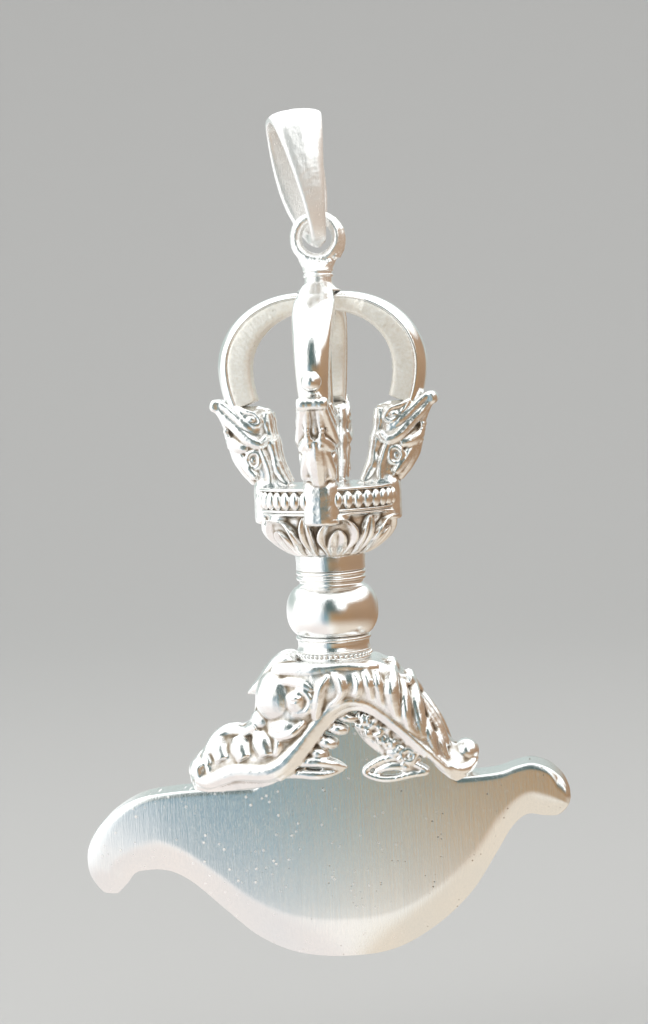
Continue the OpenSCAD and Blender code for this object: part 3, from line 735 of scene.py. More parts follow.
def prong():
    """One prong in the frame of the cage, with its cast sides marked for the finish."""
    count = len(prong_loop)

    def spot(u, v):
        centre, out, thick, width = prong_section(v)
        deep, side = prong_loop[round(u * count) % count]
        depth = deep * thick / 2
        return Vector((centre[0] + depth * out.x, side * width / 2, centre[1] + depth * out.y))

    piece = wrapped(count, PRONG_ROWS, spot)
    sides = piece.vertex_groups.new(name="sides")
    sections = map(prong_section, np.linspace(0, 1, PRONG_ROWS + 1))
    centres = [(Vector(centre), out, thick) for centre, out, thick, _ in sections]
    shares = []
    for vertex in piece.data.vertices:
        flat = Vector((vertex.co.x, vertex.co.z))
        centre, out, thick = min(centres, key=lambda row: (row[0] - flat).length)
        share = smooth((CROWN_START - (flat - centre).dot(out) / thick * 2) / CROWN_FADE)
        shares.append(share)
        sides.add([vertex.index], share, "REPLACE")
    attribute = piece.data.attributes.new("cast_side", "FLOAT", "POINT")
    attribute.data.foreach_set("value", shares)
    modify(piece, "SUBSURF", levels=1, render_levels=1)
    rough_cast(piece, depth=0.07, grain=0.22, group="sides")
    piece.location.z = disc_top
    return piece


# The neck and cheeks of a small head: radius, height, half depth, half width
neck_rows = [(3.55, 0, 1.5, 1.2), (3.95, 0.5, 1.2, 1.12), (4.35, 1.6, 1.2, 1.15), (4.8, 2.8, 1.35, 1.25),
             (5.15, 3.9, 1.5, 1.35), (5.2, 4.7, 1.45, 1.38), (5.2, 5.2, 1.35, 1.32), (5.2, 5.55, 1.1, 1.1),
             (5.2, 5.75, 0.6, 0.7)]
FOOT_OUT_R = 5.1
FOOT_W = 2.6
FOOT_LAP = 0.9
FOOT_DEEP = 1.05
FOOT_PROUD = 0.16
FOOT_CROWN = 0.36
TRUNK_R = 8.1
TRUNK_Z = 6.15
TRUNK_BALL_R = 0.72
TRUNK_BALL_Z = 7.35
HEAD_VOXEL = 0.065


def neck():
    rows = curve(neck_rows, 4)

    def spot(u, v):
        middle, height, deep, wide = along(rows, v)
        a = math.tau * u
        return Vector((middle + deep * squared(math.cos(a), 0.8), wide * squared(math.sin(a), 0.8), height))

    return wrapped(32, 40, spot)


def foot():
    """The smooth crowned post that drops over the beads and laps onto the lotus."""
    low = lotus_top - disc_top - FOOT_LAP
    rows = curve([(low, 0.8), (low + 0.1, 0.94), (low + 0.3, 1), (low / 2, 1), (-0.1, 1), (0.3, 0.9),
                  (0.8, 0.78)], 4)

    def spot(u, v):
        height, size = along(rows, v)
        a = math.tau * u
        y = squared(math.sin(a), 0.4)
        crown = FOOT_CROWN * y * y if math.cos(a) > 0 else 0
        middle = FOOT_OUT_R + FOOT_PROUD - FOOT_DEEP
        x = middle + size * (FOOT_DEEP * squared(math.cos(a), 0.4) - crown)
        return Vector((x, size * FOOT_W / 2 * y, height))

    return wrapped(48, 20, spot)


def small_head_side():
    """Clay forms of one flank: eye, jaw ridges that run out to the trunk, cheek curl and neck strands."""
    y = 1.18
    forms = [
        ball((5.05, y + 0.05, 4.85), 0.3, (1.4, 0.8, 0.75)),
        ringed([(4.4, y + 0.05, 4.6), (4.75, y + 0.1, 5.2), (5.5, y + 0.05, 5.45), (6.15, y - 0.15, 5.75),
                (5.55, y + 0.05, 4.95), (4.9, y + 0.1, 4.38)], 0.17),
        strand([(4.9, y - 0.15, 3.95, 0.32), (5.5, y - 0.1, 4.4, 0.38), (6.15, 0.95, 5, 0.36),
                (6.8, 0.85, 5.6, 0.32), (7.3, 0.78, 6, 0.28), (7.6, 0.7, 6.15, 0.2)]),
        strand([(3.95, y - 0.15, 3.6, 0.3), (4.45, y - 0.1, 3.1, 0.44), (5.2, y - 0.15, 3.35, 0.52),
                (6, 0.9, 4.1, 0.5), (6.85, 0.78, 4.9, 0.4), (7.5, 0.68, 5.6, 0.32)]),
        strand([(4.5, y - 0.1, 2.75, 0.28), (4.2, y - 0.15, 2, 0.32), (3.95, y - 0.2, 1.1, 0.3),
                (3.9, y - 0.2, 0.3, 0.28)]),
        ringed([(4.7, y - 0.05, 2.4), (5.25, y - 0.05, 2.45), (5.5, y - 0.1, 1.95), (5.1, y - 0.15, 1.4),
                (4.65, y - 0.1, 1.65)], 0.2),
        ball((5.08, y - 0.2, 1.95), 0.32, (0.9, 0.7, 1.1)),
        strand([(5.4, y - 0.25, 2.8, 0.4), (5.95, 0.85, 2.9, 0.46), (6.5, 0.55, 3.2, 0.48),
                (6.85, 0.3, 3.65, 0.3)]),
        strand([(4.9, y - 0.2, 0.7, 0.3), (5.45, 0.85, 1.4, 0.4), (5.95, 0.65, 2.2, 0.42),
                (6.4, 0.4, 2.9, 0.4)]),
        strand([(7.5, 0.42, 5.5, 0.26), (7.12, 0.45, 4.85, 0.3), (6.95, 0.45, 4.25, 0.24)]),
        strand([(6.3, 0.36, 2.5, 0.36), (5.9, 0.4, 1.7, 0.38), (5.5, 0.38, 1.1, 0.3)]),
        strand([(5.35, 0, 0.8, 0.28), (5.2, 0.6, 0.8, 0.26), (4.85, 1.05, 0.75, 0.24)]),
    ]
    # Lumpy mane down the inner side of the neck
    mane = [(4.05, 5.3, 0.45), (4.05, 4.6, 0.58), (3.9, 3.85, 0.48), (3.75, 3.05, 0.6), (3.55, 2.3, 0.48),
            (3.45, 1.5, 0.58), (3.05, 0.75, 0.48), (2.65, 0.15, 0.36)]
    forms.append(strand([(x, y - 0.5, z, size) for x, z, size in mane], 12))
    for k in range(4):
        forms.append(ball((6.98 - 0.08 * k, 0.5 - 0.03 * k, 4.05 - 0.36 * k), 0.25))
    return forms


def small_head():
    """A makara head with its trunk curled outward, its jaws round the prong and its foot over the beads."""
    trunk = strand([(4.8, 0, 2.6, 0.95), (5.7, 0, 3.5, 0.9), (6.35, 0, 4.3, 0.62), (6.9, 0, 5, 0.34),
                    (7.5, 0, 5.65, 0.26)])
    scroll = strand([(TRUNK_R - 0.5, -1.05, TRUNK_Z - 0.32, 0.3),
                     (TRUNK_R - 0.48, -0.85, TRUNK_Z - 0.3, 0.46),
                     (TRUNK_R - 0.46, -0.4, TRUNK_Z - 0.28, 0.48),
                     (TRUNK_R - 0.46, 0, TRUNK_Z - 0.3, 0.43)], 16)
    beard = strand([(4.9, 0, 0.5, 0.6), (5.5, 0, 1.3, 0.7), (5.95, 0, 2.1, 0.75), (6.3, 0, 2.9, 0.68),
                    (6.6, 0, 3.5, 0.45)])
    jaw = ball((4.1, 0, 5), 0.62, (0.8, 1.6, 0.95))
    forms = [neck(), foot(), trunk, scroll, beard, jaw, *small_head_side()]
    piece = fused(forms, HEAD_VOXEL, rounds=6, mirrored=True)
    piece.location.z = disc_top
    return rough_cast(piece, depth=0.06, grain=0.6)


def raise_front_tip(piece):
    """The front prong is filled higher with solder where it meets the crown."""
    for vertex in piece.data.vertices:
        reach = math.hypot(vertex.co.x, vertex.co.y)
        vertex.co.z += FRONT_TIP_RISE * smooth((3.6 - reach) / 2.1)
        vertex.co.x *= 1 - FRONT_TIP_PINCH * smooth((1.8 - reach) / 0.9)


prongs = turned_copies(prong(), len(SIDES))
raise_front_tip(prongs[0])
for side, piece in zip(SIDES, prongs):
    settle(mark_recess(piece), "prong_bar_" + side, "prong_" + side, prong_finish,
           sharp=40)
small_heads = turned_copies(mark_recess(small_head()), len(SIDES))
# The front trunk ends in a ball that sits on the prong
trunk_ball = turned_copies(ball((CAGE_R, 0, disc_top + TRUNK_BALL_Z), TRUNK_BALL_R), 1)
small_heads[0] = joined([small_heads[0], *trunk_ball])
for side, piece in zip(SIDES, small_heads):
    settle(piece, "makara_" + side, "prong_head_" + side, cast)

# Beaded disc and lotus

DISC_R = 5.1
DISC_RIM = 0.11
BEADS = 40
BEAD_R = 0.42


def clear_of_feet(angle):
    """Whether a bead at this angle shows beside the feet of the small heads."""
    off = math.degrees(angle) % 90
    return math.radians(min(off, 90 - off)) * DISC_R >= FOOT_W / 2 - 0.1


def beaded_disc():
    """A plate with a thin rim above and below, and beads between the rims."""
    core_r = DISC_R - BEAD_R
    profile = [(0, disc_top), (DISC_R - 0.3, disc_top)]
    profile += arc((DISC_R - 0.3, disc_top - DISC_RIM), DISC_RIM, 90, -90)
    profile += [(core_r, disc_top - 2 * DISC_RIM), (core_r, lotus_top + 2 * DISC_RIM)]
    profile += arc((DISC_R - 0.36, lotus_top + DISC_RIM), DISC_RIM, 90, -90)
    plate = turned(profile + [(0, lotus_top)])
    angles = [math.tau * (k + 0.5) / BEADS for k in range(BEADS)]
    tall = (disc_top - lotus_top - 4.4 * DISC_RIM) / 0.8
    middle = (disc_top + lotus_top) / 2
    beads = bead_ring(filter(clear_of_feet, angles), core_r + 0.05, middle, BEAD_R, tall)
    return joined([plate, *beads])


LOTUS_R = 4.75
COLLAR_R = 2.5
PETALS = 6
PETAL_TURN = 14
PETAL_WIDEST = 0.45
PETAL_FOOT = 0.62
BROAD_W = 0.36
DROP_W = 0.19
LEAF_W = 0.13
LIP_OUT = 0.6
LIP_AT = 0.86
LIP_REACH = 12
RIM_OUT = 0.28
RIM_AT = 0.96


def cup_r(v):
    return mix(COLLAR_R - 0.1, LOTUS_R - 0.25, math.sin(math.pi / 2 * v) ** 0.75)


def petal_shape(off, v, wide):
    """How deep inside a petal a place is: 1 along its middle, 0 on its rim, below 0 outside."""
    half = wide * mix(PETAL_FOOT, 1, smooth(v / PETAL_WIDEST))
    if v > PETAL_WIDEST:
        half = wide * math.sqrt(max(1 - ((v - PETAL_WIDEST) / (1 - PETAL_WIDEST)) ** 2, 0))
    return 1 - abs(off) / max(half, 0.001)


def petal_relief(deep, rim_at, lift):
    """A raised, rolled rim with a dished middle."""
    if deep <= 0:
        return 0
    rim = swelling(deep, rim_at, rim_at)
    return lift * min(deep / (rim_at * 0.5), 1) * (0.3 + 0.7 * rim)


def petal_lip(off, v):
    """The turned-out point on top of a broad petal, over a plain rim."""
    point = max(1 - (abs(off) / LIP_REACH) ** 1.6, 0)
    return LIP_OUT * point * swelling(v, LIP_AT, 0.085) + RIM_OUT * swelling(v, RIM_AT, 0.05)


def lotus_cup():
    """Broad dished petals with a drop inside each, a narrow leaf between each two, and a plain rim."""
    tall = lotus_top - collar_top
    pitch = 360 / PETALS

    def spot(u, v):
        a = 360 * u
        off = (a - PETAL_TURN + pitch / 2) % pitch - pitch / 2
        between = (a - PETAL_TURN) % pitch - pitch / 2
        swell = math.sin(math.pi * min(0.14 + v * 0.8, 0.8))
        large = petal_shape(off / pitch, min(v / LIP_AT, 1), BROAD_W)
        inner = petal_shape(off / pitch, min((v + 0.06) / 0.66, 1), DROP_W)
        small = petal_shape(between / pitch, min(v / 0.9, 1), LEAF_W)
        lift = petal_relief(large, rim_at=0.2, lift=0.72)
        lift = max(lift, petal_relief(small, rim_at=0.5, lift=0.6))
        lift += petal_relief(inner, rim_at=0.4, lift=0.36)
        radius = cup_r(v) + lift * swell + petal_lip(off, v)
        turn = math.radians(FRONT + a)
        return Vector((radius * math.cos(turn), radius * math.sin(turn), collar_top + tall * v))

    return rough_cast(wrapped(480, 72, spot), depth=0.04, grain=0.5)


settle(mark_recess(beaded_disc(), 6), "bead_plate", "beaded_disc", polished, sharp=40)
settle(mark_recess(lotus_cup(), 30), "lotus", "lotus_cup", cast)

# Collars and knop, turned

KNOP_R = 3.28
KNOP_END_R = 2.45
KNOP_STEPS = 32
LOWER_R = 2.7
TINY_BEADS = 44
TINY_BEAD_R = 0.15


def upper_collar():
    high, low = collar_top, knop_top
    profile = [(0, high), (COLLAR_R - 0.12, high)]
    profile += arc((COLLAR_R - 0.12, high - 0.12), 0.12, 90, 0, 5)
    profile += [(COLLAR_R - 0.04, high - 0.6), (COLLAR_R - 0.03, high - 1.1)]
    for middle, ring in ((1.34, 0.17), (1.72, 0.15)):
        profile += arc((COLLAR_R - ring - 0.02, high - middle), ring, 75, -75)
    profile += curve([(COLLAR_R - 0.22, high - 1.95), (COLLAR_R - 0.25, high - 2.1),
                      (COLLAR_R - 0.05, low)], 4).tolist()
    return turned(profile + [(0, low)])


def knop():
    high, low = knop_top, lower_top
    swell = KNOP_R - KNOP_END_R
    profile = [(0, high)]
    for k in range(KNOP_STEPS + 1):
        share = k / KNOP_STEPS * 2 - 1
        radius = KNOP_END_R + swell * max(1 - abs(share) ** 2.3, 0) ** 0.75
        profile.append((radius, mix(high, low, (share + 1) / 2)))
    return turned(profile + [(0, low)])


def lower_collar():
    """A near-straight band with thin rings and a row of tiny beads over the makara head."""
    high, low = lower_top, seat_z
    profile = [(0, high), (LOWER_R - 0.2, high)]
    profile += arc((LOWER_R - 0.17, high - 0.17), 0.15, 80, -80)
    profile += curve([(LOWER_R - 0.13, high - 0.36), (LOWER_R - 0.16, high - 0.7),
                      (LOWER_R - 0.1, high - 0.95)], 4).tolist()
    profile += arc((LOWER_R - 0.15, high - 1.08), 0.1, 80, -80)
    profile += [(LOWER_R - 0.16, low + 0.45)]
    profile += arc((LOWER_R - 0.18, low + 0.14), 0.13, 80, -85)
    collar = turned(profile + [(0, low)])
    angles = [math.tau * k / TINY_BEADS for k in range(TINY_BEADS)]
    return joined([collar, *bead_ring(angles, LOWER_R - 0.11, low + 0.36, TINY_BEAD_R)])


settle(mark_recess(upper_collar(), 4), "band_upper", "upper_collar", polished, sharp=35)
settle(knop(), "knop_ball", "knop", polished, sharp=35)
settle(mark_recess(lower_collar(), 4), "band_lower", "lower_collar", polished, sharp=35)

# Makara head over the blade: an arch from the nose over the seat to the jaw curl.
# Points are (x, z) from the seat.

mouth_edge = [(-10.3, -9.2), (-9.3, -9.3), (-8, -9.2), (-6.4, -9), (-4.9, -8.8), (-3.3, -7.9),
              (-2.1, -6.4), (-0.9, -4.9), (0.2, -3.8), (1.5, -3.35), (2.5, -3.6), (3.8, -4.5), (5.1, -5.7),
              (6.4, -7), (7.4, -8.15), (8.4, -8.85), (9.2, -8.7)]
head_outline = [(-10.7, -8.8), (-10.75, -7.6), (-9.7, -6.2), (-8.2, -5.1), (-7, -4.9), (-6, -4),
                (-5.6, -2.3), (-4.6, -0.7), (-2.9, 0), (0.6, 0), (3, 0), (4.8, -1.1), (6.2, -3),
                (7.3, -4.8), (8.2, -6.2), (9.2, -6.6), (9.7, -7.5)]
BLADE_T = 3
JAW_T = 0.85
CHEEK_OUT = 1.2
RIDGE_Y = 0.7
SEAT_Y = 1.9
SEAT_SHARE = 0.56
BARE_BLADE_Y = -1.6
GUM_GRAINS = 190
GUM_SEED = 11
MAKARA_VOXEL = 0.093


def head_arch():
    """The plain arch that carries the forms of the face, with a flat roof over the blade."""
    inner, outer = curve(mouth_edge, 4), curve(head_outline, 4)
    lip_y = BLADE_T / 2 + JAW_T - 0.2

    def half(u, v):
        cheek = lip_y + CHEEK_OUT * math.sin(math.pi * u) ** 1.5
        crest = RIDGE_Y + SEAT_Y * swelling(u, SEAT_SHARE, 0.13)
        taper = math.sin(math.pi * mix(0.06, 0.94, u)) ** 0.35
        return taper * (lip_y * (1 - v) ** 2 + 2.4 * cheek * v * (1 - v) + crest * v * v)

    def spot(u, v):
        if u > 1 - STRIP:
            flat = along(inner, v)
            return Vector((flat[0], mix(half(v, 0), -half(v, 0), (u - 1 + STRIP) / STRIP), flat[1]))
        side, share = flank(u)
        flat = mix(along(inner, v), along(outer, v), share)
        return Vector((flat[0], -side * half(v, share), flat[1]))

    return wrapped(60, 96, spot)


class Face:
    """Clay laid on the front of the arch, at places (x, z). A form lies sink of its radii deep."""

    def __init__(self, arch):
        self.grounds = [arch]
        self.forms = []

    def depth(self, x, z):
        """The foremost surface so far at a place: the arch, a mass laid on it or else the bare blade."""
        bpy.context.view_layer.update()
        found = []
        for ground in self.grounds:
            hit, place, _, _ = ground.ray_cast(Vector((x, -20, z)), Vector((0, 1, 0)))
            if hit:
                found.append(place.y)
        return min(found, default=BARE_BLADE_Y)

    def lay(self, points, sink, sides=10):
        """A strand through points (x, z, radius)."""
        self.forms.append(strand([(x, self.depth(x, z) + sink * r, z, r) for x, z, r in points], sides))

    def loop(self, points, radius, sink):
        """A closed roll through points (x, z)."""
        self.forms.append(ringed([(x, self.depth(x, z) + sink * radius, z) for x, z in points], radius))

    def dome(self, x, z, radius, sink, scale=(1, 1, 1)):
        """A broad mass that later forms lie on."""
        mass = ball((x, self.depth(x, z) + sink * radius * scale[1], z), radius, scale)
        self.forms.append(mass)
        self.grounds.append(mass)


def lay_face(face):
    """Forehead, eye, brow and cheek, looking to the left."""
    face.dome(-3.8, -2.55, 1.85, 0.72, (1, 0.8, 1.12))
    face.dome(-5.1, -4.2, 1, 0.66, (1, 0.8, 0.9))
    face.dome(-3.2, -4.6, 1.15, 0.7, (1.2, 0.8, 0.8))
    face.dome(-2.45, -2.75, 1, 0.74, (1, 0.8, 1))
    face.lay([(-4.2, -0.6, 0.45), (-3, -0.5, 0.55), (-1.5, -0.5, 0.55), (0, -0.4, 0.5), (1.2, -0.35, 0.46),
              (2.4, -0.4, 0.4), (3.2, -0.4, 0.3)], 0.6)
    face.lay([(-3.7, -1.3, 0.2), (-2.8, -1.3, 0.4), (-1.9, -1.5, 0.42), (-1.3, -1.9, 0.24)], 0.6)
    face.dome(-2.55, -2.4, 0.28, 0.1, (1.5, 0.8, 0.8))
    face.lay([(-3.25, -2.4, 0.06), (-2.9, -2.12, 0.13), (-2.5, -2.03, 0.16), (-2, -2.25, 0.08)], 0.1)
    face.lay([(-3.1, -2.5, 0.06), (-2.8, -2.7, 0.11), (-2.4, -2.72, 0.12), (-2, -2.4, 0.07)], 0.1)
    face.lay([(-2.5, -1.78, 0.14), (-1.95, -1.9, 0.24), (-1.55, -2.4, 0.3), (-1.6, -3, 0.32),
              (-2, -3.4, 0.3), (-2.8, -3.5, 0.14)], 0.35)
    face.lay([(-2.1, -4.2, 0.26), (-2.9, -4.85, 0.34), (-3.9, -5.15, 0.3), (-4.6, -4.8, 0.16)], 0.35)


def lay_snout(face):
    """Irregular folds of the snout, the rolled nostril and the nose tip."""
    face.lay([(-5.5, -4.5, 0.4), (-6.7, -5.15, 0.5), (-7.5, -5.12, 0.55), (-8.35, -5.35, 0.52),
              (-8.95, -5.95, 0.5), (-9.25, -6.6, 0.45)], 0.4)
    folds = [((-5.25, -5, 0.8), (-5, -5.8, 1), (-4.75, -6.7, 0.75)),
             ((-6.9, -5.5, 0.7), (-6.75, -6.2, 0.95), (-6.4, -7, 0.7)),
             ((-8.4, -5.6, 0.6), (-8.4, -6.2, 0.85), (-8.05, -7.1, 0.65)),
             ((-9.4, -6.5, 0.4), (-9.3, -7, 0.5), (-9.1, -7.4, 0.4))]
    for fold in folds:
        face.lay(fold, 0.6, 16)
    face.lay([(-4.1, -5.2, 0.12), (-4, -5.8, 0.28), (-4.2, -6.5, 0.12)], 0.2)
    face.dome(-9.85, -7.8, 0.95, 0.66, (1, 1, 1.05))
    face.loop([(-10, -7.55), (-9.5, -7.3), (-9.15, -7.65), (-9.35, -8.1), (-9.85, -8.15)], 0.26, 0.5)


def lay_lips(face):
    """The smooth band that rolls round the mouth, broad on the snout and narrow on the jaw."""
    face.lay([(-10.2, -8.3, 0.45), (-9.3, -8.5, 0.6), (-8.3, -8.15, 0.7), (-7.3, -7.8, 0.74),
              (-6.3, -7.75, 0.76), (-5.2, -7.75, 0.8), (-4.3, -7.5, 0.84), (-3.35, -6.8, 0.84),
              (-2.35, -5.65, 0.78), (-1.3, -4.4, 0.68), (-0.25, -3.35, 0.56), (0.75, -2.8, 0.44),
              (1.6, -2.75, 0.38), (2.5, -3.05, 0.36), (3.7, -3.95, 0.35), (5.1, -5.2, 0.35),
              (6.5, -6.55, 0.37), (7.6, -7.65, 0.4), (8.3, -8.15, 0.32)], 0.55, 14)
    face.lay([(-4.2, -8.3, 0.3), (-3.1, -7.4, 0.36), (-2, -6.1, 0.38), (-0.9, -4.7, 0.38),
              (0.2, -3.65, 0.36), (1.4, -3.2, 0.34), (2.5, -3.45, 0.32), (3.75, -4.35, 0.3),
              (5.1, -5.6, 0.3), (6.45, -6.9, 0.3)], 0.2, 12)


def lay_mane(face):
    """Leaves over the mouth, then flame locks down the jaw to its curl."""
    face.lay([(-0.15, -0.85, 0.16), (-0.7, -1.6, 0.36), (-1, -2.6, 0.44), (-1.25, -3.6, 0.36),
              (-1.3, -4.2, 0.12)], 0.3, 12)
    face.lay([(0.15, -0.7, 0.16), (0.6, -1.15, 0.32), (0.75, -1.9, 0.34), (0.4, -2.55, 0.24),
              (-0.2, -3, 0.2), (-0.7, -3.6, 0.12)], 0.25, 12)
    face.lay([(1.62, -0.8, 0.12), (1.9, -1.4, 0.26), (1.78, -2.05, 0.3), (1.5, -2.3, 0.16)], 0.25, 12)
    face.lay([(2.35, -0.7, 0.22), (2.6, -1.5, 0.36), (2.75, -2.6, 0.12)], 0.3, 12)
    face.lay([(3.05, -0.7, 0.25), (3.25, -1.6, 0.4), (3.45, -3, 0.12)], 0.35, 12)
    locks = [((3.98, -0.5, 0.5), (4.06, -1.5, 0.64), (4.22, -2.7, 0.58), (4.4, -3.9, 0.16)),
             ((4.85, -1.5, 0.3), (5, -2.5, 0.42), (5.12, -3.7, 0.4), (5.25, -4.8, 0.12)),
             ((5.15, -1.5, 0.45), (5.6, -2.6, 0.56), (5.95, -4.1, 0.52), (6.25, -5.5, 0.15)),
             ((6, -3, 0.42), (6.55, -3.95, 0.54), (7.2, -5.1, 0.54), (7.9, -6.4, 0.26)),
             ((6.35, -4.3, 0.32), (6.65, -5.4, 0.46), (7.1, -6.75, 0.14)),
             ((7.05, -5.3, 0.3), (7.4, -6.1, 0.42), (7.85, -7.1, 0.16))]
    for lock in locks:
        face.lay(lock, 0.45, 14)
    face.dome(9.15, -6.95, 0.9, 0.65)
    face.lay([(7.9, -7.6, 0.3), (8.5, -7.95, 0.4), (9.2, -7.95, 0.44), (9.7, -7.5, 0.38)], 0.4)


def lay_mouth(face):
    """Teeth, gum and fangs on the blade's face, inside the mouth."""
    front = -BLADE_T / 2

    def lay(points, sides=10):
        face.forms.append(strand([(x, front - y, z, r) for x, y, z, r in points], sides))

    def loop(points, radius, out):
        face.forms.append(ringed([(x, front - out, z) for x, z in points], radius))

    for x, z, r in ((1.05, -4.1, 0.36), (0.4, -4.9, 0.45), (-0.4, -5.85, 0.48), (-1.1, -6.6, 0.42)):
        lay([(x - 0.9, 0.2, z + 0.2, 0.8 * r), (x - 0.2, 0.35, z + 0.05, r),
             (x + 0.3, 0.25, z - 0.05, 0.8 * r), (x + 0.55, 0.1, z - 0.1, 0.3 * r)])
    lay([(-3.6, 0.3, -7.25, 0.4), (-2.4, 0.4, -7.15, 0.4), (-1.3, 0.45, -7.15, 0.42),
         (-0.2, 0.3, -7.35, 0.34), (0.75, 0.1, -7.68, 0.1)])
    lay([(-4.4, 0.1, -8.05, 0.32), (-2.7, 0.3, -8, 0.36), (-1.4, 0.35, -8.1, 0.36), (-0.4, 0.25, -8, 0.28),
         (0.5, 0.1, -7.82, 0.1)])
    loop([(2, -8), (2.6, -7.45), (3.66, -7.05), (4.8, -7.15), (6.4, -8), (5.2, -8.25), (4, -8.5),
          (2.9, -8.45)], 0.26, 0.2)
    lay([(2.7, 0.05, -8.05, 0.2), (3.6, 0.15, -7.65, 0.36), (4.8, 0.15, -7.65, 0.34),
         (5.9, 0.1, -7.95, 0.15)])
    loop([(4.61, -6.68), (5.12, -6.41), (5.6, -6.79), (5.44, -7.2), (4.9, -7.2)], 0.16, 0.4)
    lay([(1.5, -0.25, -3.8, 0.55), (2.6, -0.25, -4.6, 0.66), (3.9, -0.25, -5.7, 0.68), (5, -0.2, -6.7, 0.6),
         (5.9, -0.1, -7.4, 0.35)], 14)
    lay([(1.6, -0.3, -4.5, 0.5), (2.4, -0.3, -5.5, 0.6), (3.4, -0.3, -6.4, 0.55),
         (4.3, -0.25, -7, 0.4)], 14)
    dice = random.Random(GUM_SEED)
    for _ in range(GUM_GRAINS):
        share, aside = dice.random(), dice.uniform(-0.6, 0.9)
        x, z = mix(2, 5.6, share) - 0.7 * aside, mix(-3.9, -7.1, share) - 0.72 * aside
        face.forms.append(ball((x, front - dice.uniform(0.3, 0.4), z), dice.uniform(0.13, 0.2)))


def makara_head():
    """The arch with the clay of the face on it and a crest over the brow, the same behind."""
    arch = head_arch()
    face = Face(arch)
    lay_face(face)
    lay_snout(face)
    lay_lips(face)
    lay_mane(face)
    lay_mouth(face)
    crest = strand([(-2.75, -0.7, -0.1, 0.5), (-3.3, -0.8, -0.05, 0.7), (-3.95, -0.8, -0.5, 0.8),
                    (-4.6, -0.7, -1.2, 0.75), (-5.3, -0.5, -1.8, 0.55), (-5.9, -0.35, -2.15, 0.35),
                    (-6.35, -0.15, -2.42, 0.08)])
    piece = fused([arch, crest, *face.forms], MAKARA_VOXEL, rounds=4, mirrored=True)
    piece.location.z = seat_z
    return rough_cast(piece, depth=0.05, grain=0.7)


settle(mark_recess(makara_head()), "makara_great", "makara_head", cast)

# Blade: a row of cross-sections from the left tip to the hook, each from the spine round the edge and back.
# Points are (x, z) from the spine.

SPINE_DROP = 9
EDGE_T = 1
BEVEL_W = 3.1
SPINE_ROUND = 0.5
TIP_ROUND = 2
HOOK_ROUND = 1.1
TONGUE_GRIP = 1
TONGUE_LEFT = -6.2
TONGUE_RIGHT = 8.6
END_T = 0.12
TIP_SHARE = 0.3
HOOK_SHARE = 0.84
TIP_THINNED = 0.35
SPINE_SHARE = 0.25
BEVEL_SHARE = 0.6
spine_line = [(-17.5, -7.8), (-18.4, -6.3), (-18.5, -4.6), (-17.9, -3.2), (-16.6, -1.8), (-14.6, -0.7),
              (-12.4, -0.3), (-9.6, -0.1), (-6.4, 0), (-3, 0.1), (0.6, 0.2), (4, 0.3), (7, 0.4), (9.6, 0.5),
              (11.4, 0.7), (12.6, 1.1), (13.8, 1.3), (15, 0.9), (15.9, 0.1), (16.35, -0.9), (16.4, -1.4)]
edge_line = [(-16.6, -7.9), (-15.8, -7.1), (-15.1, -6.3), (-14.1, -6.1), (-13.1, -6.1), (-12, -6.4),
             (-10.6, -7.3), (-8.6, -9.1), (-6.2, -11.1), (-3.4, -12.3), (0, -12.6), (3.5, -12.1),
             (6.6, -10.4), (9.2, -8), (11, -5.3), (12.2, -3.4), (13.3, -2.5), (14.5, -2.6), (15.4, -2.6),
             (16, -2.2), (16.3, -1.7)]


def tongue_rise(x, z):
    """How far the tongue rises over the spine behind the lips."""
    roof = mouth_edge[4:15]
    rise = np.interp(x, [p[0] for p in roof], [p[1] for p in roof]) + TONGUE_GRIP + SPINE_DROP
    return max(rise - z, 0) * smooth((x - TONGUE_LEFT) / 1.6) * smooth((TONGUE_RIGHT - x) / 1.4)


def blade_side(share, span, v):
    """Distance from the spine and half thickness at a share of the way from the spine to the edge."""
    ends = min(1, 12 * min(v, 1 - v))
    half = BLADE_T / 2 * mix(END_T, 1, math.sqrt(1 - (1 - ends) ** 2))
    half *= 1 - TIP_THINNED * (1 - min(v / TIP_SHARE, 1)) ** 2
    shoulder = mix(TIP_ROUND, SPINE_ROUND, smooth(v / TIP_SHARE))
    shoulder += HOOK_ROUND * smooth((v - HOOK_SHARE) / 0.08)
    shoulder = min(shoulder, span / 3)
    bevel = min(BEVEL_W, span / 2)
    if share < SPINE_SHARE:
        s = share / SPINE_SHARE * math.pi / 2
        return shoulder * (1 - math.cos(s)), half - shoulder * 0.4 * (1 - math.sin(s))
    if share < BEVEL_SHARE:
        return mix(shoulder, span - bevel, (share - SPINE_SHARE) / (BEVEL_SHARE - SPINE_SHARE)), half
    s = (share - BEVEL_SHARE) / (1 - BEVEL_SHARE)
    return mix(span - bevel, span, s), mix(half, EDGE_T / BLADE_T * half, s ** 2)


def blade():
    spine, edge = curve(spine_line, 8), curve(edge_line, 8)

    def spot(u, v):
        top, low = along(spine, v), along(edge, v)
        top = top + (0, tongue_rise(*top))
        span = max(np.linalg.norm(low - top), 0.001)
        down = (low - top) / span
        if u > 1 - STRIP:
            thick = blade_side(0, span, v)[1]
            return Vector((top[0], mix(thick, -thick, (u - 1 + STRIP) / STRIP), top[1]))
        side, share = flank(u)
        away, thick = blade_side(share, span, v)
        return Vector((top[0] + down[0] * away, -side * thick, top[1] + down[1] * away))

    piece = wrapped(100, 320, spot)
    piece.location.z = seat_z - SPINE_DROP
    return piece


settle(blade(), "crescent_blade", "blade", satin, sharp=30)

# The rod through the handle keeps its CAD shape

rod_finishes = frame["nodes"]["core_rod"].data.materials
rod_finishes.clear()
rod_finishes.append(polished)

# Floor, light and camera

